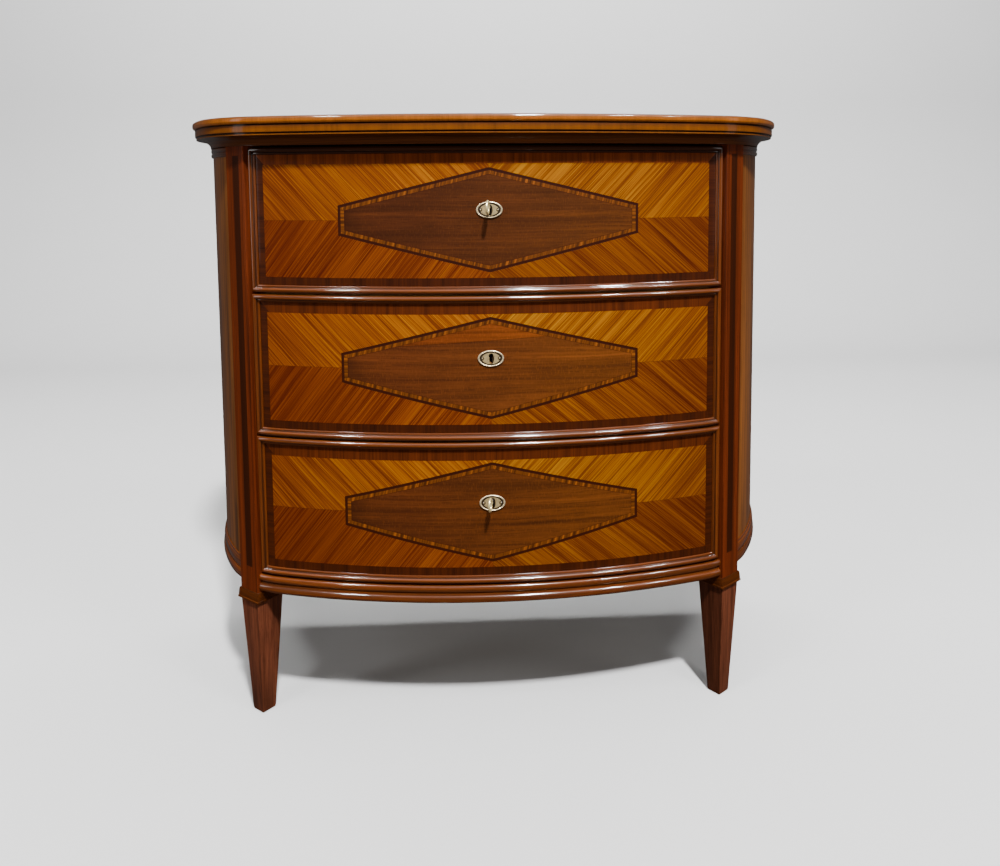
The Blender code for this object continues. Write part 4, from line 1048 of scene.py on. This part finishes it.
def cornice_finish(name):
    """Golden cross-grained fascia with a painted shadow of the slab at its top, over a groove in painted
    shade and a darker cove; the quirk under the slab is painted in shade too.
    """
    colours, _ = settings()
    material, shader = new_material(name)
    run, height, _ = separate(flat_place(shader))
    tone, grain = cross_grain(colours.fascia, run, height, 2.0)
    plain, _ = streaks(run, height, 0.0, 420.0, 9.0)
    cove = tint(grained(plain, colours.moulding, 0.36, 0.83, 1.3), 1.0, 1.2, 2.5)
    tone = mix(between(height, FILLET_BOTTOM - 0.0004, FILLET_BOTTOM + 0.0002, 1.0, 0.0), tone, cove)
    # painted shade in the groove under the fascia
    groove = (height > GROOVE_BOTTOM - SEAM) * (height < FASCIA_BOTTOM + SEAM)
    tone = mix(groove * 0.9, tone, shade(colours.stringing, 0.4))
    # painted shadow of the slab over the fascia's top
    slab_painted_shadow = between(height, FILLET_BOTTOM + 0.0075, QUIRK_BOTTOM - SEAM, 0.0, 0.75)
    tone = mix(slab_painted_shadow, tone, tint(tone, 0.3, 0.22, 0.2))
    # painted shade in the quirk under the slab
    tone = mix((height > QUIRK_BOTTOM - SEAM) * 0.95, tone, shade(colours.stringing, 0.3))
    polish(shader, tone, grain, 0.6, 0.06, 0.42, 0.1)
    return material


def top_finish(name):
    """Golden edge with painted shade and a painted highlight, dark crossband and quartered field on the top,
    with a fine line at each change.
    """
    colours, _ = settings()
    material, shader = new_material(name)
    run, rise, inset = separate(flat_place(shader))
    x, y, _ = separate(object_place(shader))
    field, grain = quartered(x, y - (FACE_Y + CASE_BACK * 0.5), 11.0)
    # the edge is paler than the fascia, partly its own tone and partly a painted highlight; its top gets
    # painted shade and its lower part a pale, bluish painted highlight
    edge, _ = cross_grain(shade(colours.fascia, 1.8), run, rise, 4.0)
    edge = mix(between(rise, 0.001, 0.0085), tint(edge, 1.5, 1.5, 2.0), tint(edge, 0.45, 0.45, 0.6))
    band_grain, _ = streaks(inset, run, 0.0, 420.0, 6.0)
    band = grained(band_grain, colours.crossband, 0.5, 1.0, 1.9)
    tone = mix(inset > EDGE_WIDTH + TOP_LINE, edge, band)
    tone = mix((inset > EDGE_WIDTH) * (inset < EDGE_WIDTH + TOP_LINE), tone, colours.strip)
    tone = mix(inset > BAND_END, tone, field)
    tone = mix((inset > BAND_END - TOP_LINE) * (inset < BAND_END), tone, colours.stringing)
    polish(shader, tone, grain, 0.7, 0.06, 0.42, 0.06, 1.4)
    return material


def metal(name, colour, roughness, dark, metallic=1.0, painted_shade_from=None):
    """Worn metal with tarnish in its noise; beyond some place along Y it is painted dull and dark, as painted
    shade.
    """
    material, shader = new_material(name)
    tree, place = shader.id_data, object_place(shader)
    stain = noise(place, 240.0, 4.0, 0.6)
    tone = ramp(between(stain, 0.35, 0.7),
                [(0.0, shade(colour, dark)), (0.45, colour), (1.0, shade(colour, 1.15))])
    # painted shade: the key's stem near the plate is painted dark
    if painted_shade_from is not None:
        tone = mix(between(separate(place)[1], painted_shade_from, painted_shade_from + 0.0015), tone, srgb(36, 26, 14))
    tree.links.new(tone.socket, shader.inputs['Base Color'])
    shader.inputs['Metallic'].default_value = metallic
    tree.links.new(between(stain, 0.3, 0.7, roughness + 0.12, roughness).socket, shader.inputs['Roughness'])
    bump = wire(tree, 'ShaderNodeBump',
                {'Height': noise(place, 720.0, 2.0), 'Strength': 0.12, 'Distance': 0.0002})
    tree.links.new(bump.socket, shader.inputs['Normal'])
    return material


def plate_finish(name, colour):
    """Aged brass with painted shade, and some grime, in the groove inside the rim, round the two pins and
    about the keyhole.
    """
    material, shader = new_material(name)
    place = flat_place(shader)
    x, y, _ = separate(place)

    def squared(across, up):
        return across * across + up * up

    tone = ramp(between(noise(place, 300.0, 3.0, 0.6), 0.3, 0.75),
                [(0.0, shade(colour, 0.7)), (0.5, colour), (1.0, shade(colour, 1.1))])
    out = squared(x / PLATE_HALF_WIDTH, y / PLATE_HALF_HEIGHT).math('SQRT')
    tone = mix(out < 0.74, tone, tint(tone, 0.78, 0.74, 0.6))
    # painted shade, with some grime: dark in the groove inside the rim, round the pins and about the keyhole
    groove = between(out, 0.67, 0.71) * between(out, 0.87, 0.85)
    to_pin = squared(abs(x) - PIN_OUT, y).math('SQRT')
    pin_ring = (to_pin > 0.0009) * (to_pin < 0.0026)
    keyhole = between(squared((x - 0.0010) / 0.0034, (y + 0.0004) / 0.0074), 0.8, 1.1, 1.0, 0.0)
    painted_shade_and_grime = groove.math('MAXIMUM', pin_ring * 0.9).math('MAXIMUM', keyhole)
    tone = mix(painted_shade_and_grime, tone, srgb(40, 28, 14))
    shader.id_data.links.new(tone.socket, shader.inputs['Base Color'])
    shader.id_data.links.new(between(painted_shade_and_grime, 0.0, 1.0, 0.5, 0.1).socket, shader.inputs['Metallic'])
    shader.inputs['Roughness'].default_value = 0.34
    return material


# Studio

FLOOR_HALF_WIDTH = 8.0
FLOOR_FRONT, FLOOR_END = -7.0, 2.2          # the floor then bends up into a wall
BEND_RADIUS = 1.2
WALL_TOP = 6.0

# The camera stands and looks as in the photograph
CAMERA_PLACE = (0.0027, FACE_Y - 1.1140, 0.7571)
CAMERA_PAN = radians(3.1456)                # to the right
CAMERA_TILT = radians(-4.7964)              # down from the level
CAMERA_ROLL = radians(-0.3368)
SENSOR_WIDTH, FOCAL_LENGTH = 36.0, 30.6
CAMERA_SHIFT = (-0.0384, -0.1826)

CHEST_MIDDLE = (0.0, -0.1, 0.5)
# Name, place, target, size, power, whether it lights the surfaces and whether the polish mirrors it
LAMPS = (("ceiling_light", (0.0, -0.2, 3.2), (0.0, 0.1, 0.0), (2.4, 1.8), 20.0, True, True),
         ("key_lamp", (0.72, -3.25, 5.2), CHEST_MIDDLE, (0.36, 0.36), 680.0, True, True),
         ("key_gleam", (0.36, -1.75, 3.0), CHEST_MIDDLE, (0.22, 0.2), 170.0, False, True),
         ("right_gleam", (1.24, -1.42, 3.08), CHEST_MIDDLE, (0.18, 0.18), 130.0, False, True),
         ("far_right_gleam", (1.79, -1.58, 2.71), CHEST_MIDDLE, (0.2, 0.16), 60.0, False, True),
         ("left_gleam", (-1.52, -1.56, 2.89), CHEST_MIDDLE, (0.22, 0.2), 130.0, False, True),
         ("right_lamp", (1.4, -1.5, 2.9), CHEST_MIDDLE, (0.4, 0.4), 24.0, True, False),
         ("left_lamp", (-1.5, -1.5, 2.9), CHEST_MIDDLE, (0.4, 0.4), 24.0, True, False),
         ("front_fill", (0.0, -3.2, 0.35), (0.0, -0.1, 0.35), (2.4, 0.7), 36.0, True, False),
         ("left_panel", (-2.4, -0.9, 1.2), (-0.2, 0.0, 0.5), (0.5, 1.6), 9.0, True, True),
         ("right_panel", (2.4, -0.9, 1.2), (0.2, 0.0, 0.5), (0.5, 1.6), 4.0, True, True),
         ("backdrop_light", (0.0, 1.2, 3.4), (0.0, 3.2, 1.0), (4.0, 0.6), 120.0, True, True))


def add_floor():
    """Pale floor that bends up into a wall behind the chest."""
    material, shader = new_material("studio_floor")
    tone = ramp(noise(object_place(shader), 3.0), [(0.0, srgb(232, 232, 232)), (1.0, srgb(236, 236, 236))])
    shader.id_data.links.new(tone.socket, shader.inputs['Base Color'])
    shader.inputs['Roughness'].default_value = 0.9
    shader.inputs['Specular IOR Level'].default_value = 0.1
    profile = [(FLOOR_FRONT, 0.0), (FLOOR_END, 0.0)]
    profile += [(FLOOR_END + BEND_RADIUS * sin(turn), BEND_RADIUS - BEND_RADIUS * cos(turn))
                for turn in turns(pi / 2, 16)[1:]]
    profile += [(FLOOR_END + BEND_RADIUS, WALL_TOP)]
    bm = bmesh.new()
    rings = [[bm.verts.new((sign * FLOOR_HALF_WIDTH, y, z)) for _, sign in SIDES] for y, z in profile]
    skin(bm, rings, False)
    mesh = to_mesh(bm, "studio_floor")
    for face in mesh.polygons:
        face.use_smooth = True
    mesh.materials.append(material)
    floor = new_object("studio_floor", mesh)
    # the polish then mirrors the lamps and the dim room, as in the photograph, and not the pale floor
    floor.visible_glossy = False
    floor.visible_diffuse = False


def add_lamp(name, place, target, size, power, lights, mirrored):
    """A soft lamp that faces its target."""
    light = bpy.data.lights.new(name, 'AREA')
    light.shape = 'RECTANGLE'
    light.size, light.size_y = size
    light.energy = power
    lamp = new_object(name, light)
    lamp.location = place
    lamp.rotation_euler = (Vector(target) - Vector(place)).to_track_quat('-Z', 'Y').to_euler()
    lamp.visible_diffuse = lights
    lamp.visible_glossy = mirrored
    lamp.visible_camera = False


def add_camera():
    """The camera, where the photograph was taken from."""
    camera_data = bpy.data.cameras.new("camera")
    camera_data.sensor_width = SENSOR_WIDTH
    camera_data.lens = FOCAL_LENGTH
    camera_data.shift_x, camera_data.shift_y = CAMERA_SHIFT
    camera_data.clip_start = 0.05
    camera = new_object("camera", camera_data)
    turn = (Matrix.Rotation(-CAMERA_PAN, 4, 'Z') @ Matrix.Rotation(pi / 2 + CAMERA_TILT, 4, 'X')
            @ Matrix.Rotation(CAMERA_ROLL, 4, 'Z'))
    camera.matrix_world = Matrix.Translation(CAMERA_PLACE) @ turn
    bpy.context.scene.camera = camera


# Operators

def put(piece, body, slot, *nodes):
    """Ride a finished piece on its body in place of its CAD nodes."""
    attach(piece, body)
    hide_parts(*nodes)


def redress(node, material):
    """Give a CAD node a better material."""
    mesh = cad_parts[node].data
    mesh.materials.clear()
    mesh.materials.append(material)


def drawer_bottom(number):
    """Height of a drawer's lower edge; the first drawer is the top one."""
    return DRAWERS_BOTTOM + (3 - number) * DRAWER_PITCH


class ChestOperator:
    """What the operators of this add-on share"""
    bl_options = {'REGISTER', 'UNDO'}


class CHEST_OT_stage(ChestOperator, bpy.types.Operator):
    """Make the floor, the lights and the camera"""
    bl_idname = "chest.stage"
    bl_label = "Studio"

    def execute(self, context):
        add_floor()
        world = bpy.data.worlds.new("studio")
        world.use_nodes = True
        background = world.node_tree.nodes["Background"]
        background.inputs['Color'].default_value = (1.0, 1.0, 1.0, 1.0)
        background.inputs['Strength'].default_value = 0.08
        context.scene.world = world
        for lamp in LAMPS:
            add_lamp(*lamp)
        add_camera()
        return {'FINISHED'}


class CHEST_OT_trees(ChestOperator, bpy.types.Operator):
    """Draw the plan and build the two trees that wrap pieces round it"""
    bl_idname = "chest.trees"
    bl_label = "Plan and trees"

    def execute(self, context):
        plan_curve()
        wrap_tree("wrap_round_chest", False)
        wrap_tree("moulding_round_chest", True)
        return {'FINISHED'}


class CHEST_OT_top(ChestOperator, bpy.types.Operator):
    """Make the slab and its cornice"""
    bl_idname = "chest.top"
    bl_label = "Top"

    def execute(self, context):
        slab = baked(new_object("slab", slab_mesh()), "top_slab_polished", top_finish("polished_top"))
        put(slab, "case", "polished_top", "top_slab")
        end = FACE_RUN - 0.0002
        cornice = sweep("cornice", cornice_section(), -end, end, cornice_finish("cornice_wood"))
        put(cornice, "case", "cornice", "cornice_moulding")
        return {'FINISHED'}


class CHEST_OT_sides(ChestOperator, bpy.types.Operator):
    """Make the base moulding, the side panels and their mouldings"""
    bl_idname = "chest.sides"
    bl_label = "Base and sides"

    def execute(self, context):
        colours, _ = settings()
        wood = plain_wood("moulding_wood", colours.moulding, fineness=420.0,
                          coat=1.0, coat_roughness=0.1, gloss=1.5)
        veneer = plain_wood("side_veneer", colours.side, 'Y', contrast=1.2, fineness=200.0,
                            coat=0.5, coat_roughness=0.1, gloss=1.3)
        # the mouldings and panels end inside the corner posts
        inner_end, outer_end = POST_RUN - POST_WIDTH * 0.35, POST_RUN + POST_WIDTH * 0.47
        put(sweep("base_front", base_section(), -inner_end, inner_end, wood), "case", "moulding",
            "base_moulding_front")
        for side, sign in SIDES:
            start, end = sorted((sign * outer_end, sign * SIDE_RUN))
            for label, section, finish, slot, node in (
                    ("base_", side_base_section(), wood, "moulding", "base_moulding_"),
                    ("necking_", necking_section(), wood, "moulding", "side_top_moulding_"),
                    ("side_bead_", side_bead_section(), wood, "moulding", "side_bottom_moulding_"),
                    ("panel_", panel_section(), veneer, "side_veneer", "side_panel_")):
                put(sweep(label + side, section, start, end, finish), "case", slot, node + side)
        return {'FINISHED'}


class CHEST_OT_legs(ChestOperator, bpy.types.Operator):
    """Make the four legs and their collars"""
    bl_idname = "chest.legs"
    bl_label = "Legs"

    def execute(self, context):
        colours, sizes = settings()
        rear_wood = plain_wood("rear_leg_wood", colours.leg, 'Z', fineness=380.0, coat=0.15)
        collar_wood = plain_wood("collar_wood", shade(colours.moulding, 0.5), fineness=380.0, coat=0.3)
        # painted shade on the right post's side faces only
        side_painted_shade = {"left": 0.0, "right": 0.58}
        for side, sign in SIDES:
            front_wood = post_finish("post_wood_" + side, sign, side_painted_shade[side])
            for end, centre, turn, width, depth, forward, wood in (
                    ("front", POST_CENTRE, POST_ANGLE * sign, POST_WIDTH, POST_DEPTH, FOOT_FORWARD,
                     front_wood),
                    ("rear", REAR_POST_CENTRE, 0.0, REAR_POST_WIDTH, REAR_POST_WIDTH, 0.0, rear_wood)):
                place = Matrix.Translation((sign * centre.x, centre.y, 0.0)) @ Matrix.Rotation(turn, 4, 'Z')
                for kind, mesh, finish, slot in (
                        ("leg", leg_mesh(width, depth, forward, sizes.arris), wood, "leg"),
                        ("leg_collar", collar_mesh(width, depth), collar_wood, "moulding")):
                    keep_place(mesh)
                    mesh.transform(place)
                    name = end + "_" + kind + "_" + side
                    piece = baked(new_object(name + "_raw", mesh), name + "_polished", finish)
                    put(piece, "case", slot, name)
        return {'FINISHED'}


class CHEST_OT_drawer_fronts(ChestOperator, bpy.types.Operator):
    """Make the veneered fronts, their lozenges and their mouldings"""
    bl_idname = "chest.drawer_fronts"
    bl_label = "Drawer fronts"

    def execute(self, context):
        front, lozenge, moulding = front_mesh(), lozenge_mesh(), frame_mesh()
        for number, look in LOOKS.items():
            body = f"drawer_{number}"
            for label, mesh, finish, slot, node in (
                    ("_veneered_front", front, drawer_front_finish(body + "_veneer", number * 5.3, look),
                     "front_veneer", "_front"),
                    ("_inlaid_lozenge", lozenge, lozenge_finish(body + "_lozenge", number * 3.1, look),
                     "lozenge", "_lozenge"),
                    ("_mitred_frame", moulding,
                     frame_finish(body + "_frame_wood", settings()[0].moulding, look.top_bar_painted_shade),
                     "moulding", "_moulding")):
                piece = wrap(body + label, mesh, finish)
                piece.data.transform(Matrix.Translation((0.0, 0.0, drawer_bottom(number))))
                put(piece, body, slot, body + node)
        return {'FINISHED'}


class CHEST_OT_brass(ChestOperator, bpy.types.Operator):
    """Make the keyhole plates and the keys"""
    bl_idname = "chest.brass"
    bl_label = "Plates and keys"

    def execute(self, context):
        plate_metal = plate_finish("aged_brass", srgb(205, 184, 146))
        # the key's stem within about 10 mm of the drawer face is painted in shade
        key_metal = metal("key_metal", srgb(238, 218, 160), 0.26, 0.7, 0.6, FACE_Y - 0.0100)
        for number in LOOKS:
            body, low = f"drawer_{number}", drawer_bottom(number)
            mesh = plate_mesh()
            keep_place(mesh)
            mesh.transform(Matrix.Translation((0.0, FACE_Y, low + PLATE_HEIGHT_UP))
                           @ Matrix.Rotation(pi / 2, 4, 'X'))
            plate = baked(new_object("plate", mesh), body + "_brass_plate", plate_metal, 40.0)
            put(plate, body, "keyhole_plate", body + "_keyhole_plate")
            if number in KEY_LEANS:
                mesh = key_mesh(KEY_LEANS[number])
                mesh.transform(Matrix.Translation((0.0, FACE_Y, low + KEYHOLE_UP)))
                key = baked(new_object("key", mesh), body + "_brass_key", key_metal, 40.0)
                put(key, f"key_{number}", "key_brass", body + "_key")
        return {'FINISHED'}


class CHEST_OT_inside(ChestOperator, bpy.types.Operator):
    """Finish the boards, the drawer boxes and the locks"""
    bl_idname = "chest.inside"
    bl_label = "Inside"

    def execute(self, context):
        pine = bare_wood("carcase_pine", srgb(176, 138, 92), 'X')
        oak_across = bare_wood("drawer_oak_across", srgb(168, 128, 82), 'X')
        oak_along = bare_wood("drawer_oak_along", srgb(164, 124, 80), 'Y')
        iron = metal("lock_iron", srgb(120, 116, 108), 0.42, 0.5)
        # painted shade: the top frame is dark where the gap over the top drawer lies in shade
        redress("top_frame", bare_wood("stained_pine", srgb(34, 18, 8), 'X'))
        for node in ("divider_upper", "divider_lower", "bottom_board", "back_panel"):
            redress(node, pine)
        for number in LOOKS:
            for part, finish in (("side_left", oak_along), ("side_right", oak_along), ("back", oak_across),
                                 ("bottom", oak_across), ("lock_case", iron), ("lock_bolt", iron)):
                redress(f"drawer_{number}_{part}", finish)
        return {'FINISHED'}


class CHEST_PT_panel(bpy.types.Panel):
    """Sidebar list of the pieces, their colours and their sizes"""
    bl_idname = "CHEST_PT_panel"
    bl_label = "Demilune chest"
    bl_space_type = 'VIEW_3D'
    bl_region_type = 'UI'
    bl_category = "Chest"

    def draw(self, context):
        for group in (context.scene.chest_colours, context.scene.chest_sizes):
            box = self.layout.box()
            for name in group.__annotations__:
                box.prop(group, name)
        for operator in OPERATORS:
            self.layout.operator(operator.bl_idname)


OPERATORS = (CHEST_OT_stage, CHEST_OT_trees, CHEST_OT_top, CHEST_OT_sides, CHEST_OT_legs,
             CHEST_OT_drawer_fronts, CHEST_OT_brass, CHEST_OT_inside)
CLASSES = (ChestColours, ChestSizes) + OPERATORS + (CHEST_PT_panel,)


def register():
    """Register the classes and hang the settings on the scene."""
    for item in CLASSES:
        bpy.utils.register_class(item)
    bpy.types.Scene.chest_colours = bpy.props.PointerProperty(type=ChestColours)
    bpy.types.Scene.chest_sizes = bpy.props.PointerProperty(type=ChestSizes)


def unregister():
    """Take the classes and settings away again."""
    del bpy.types.Scene.chest_sizes
    del bpy.types.Scene.chest_colours
    for item in reversed(CLASSES):
        bpy.utils.unregister_class(item)


def main():
    """Make the whole scene."""
    register()
    bpy.ops.chest.stage()
    bpy.ops.chest.trees()
    bpy.ops.chest.top()
    bpy.ops.chest.sides()
    bpy.ops.chest.legs()
    bpy.ops.chest.drawer_fronts()
    bpy.ops.chest.brass()
    bpy.ops.chest.inside()
    bpy.data.objects.remove(bpy.data.objects["plan"], do_unlink=True)


if __name__ == "__main__":
    main()
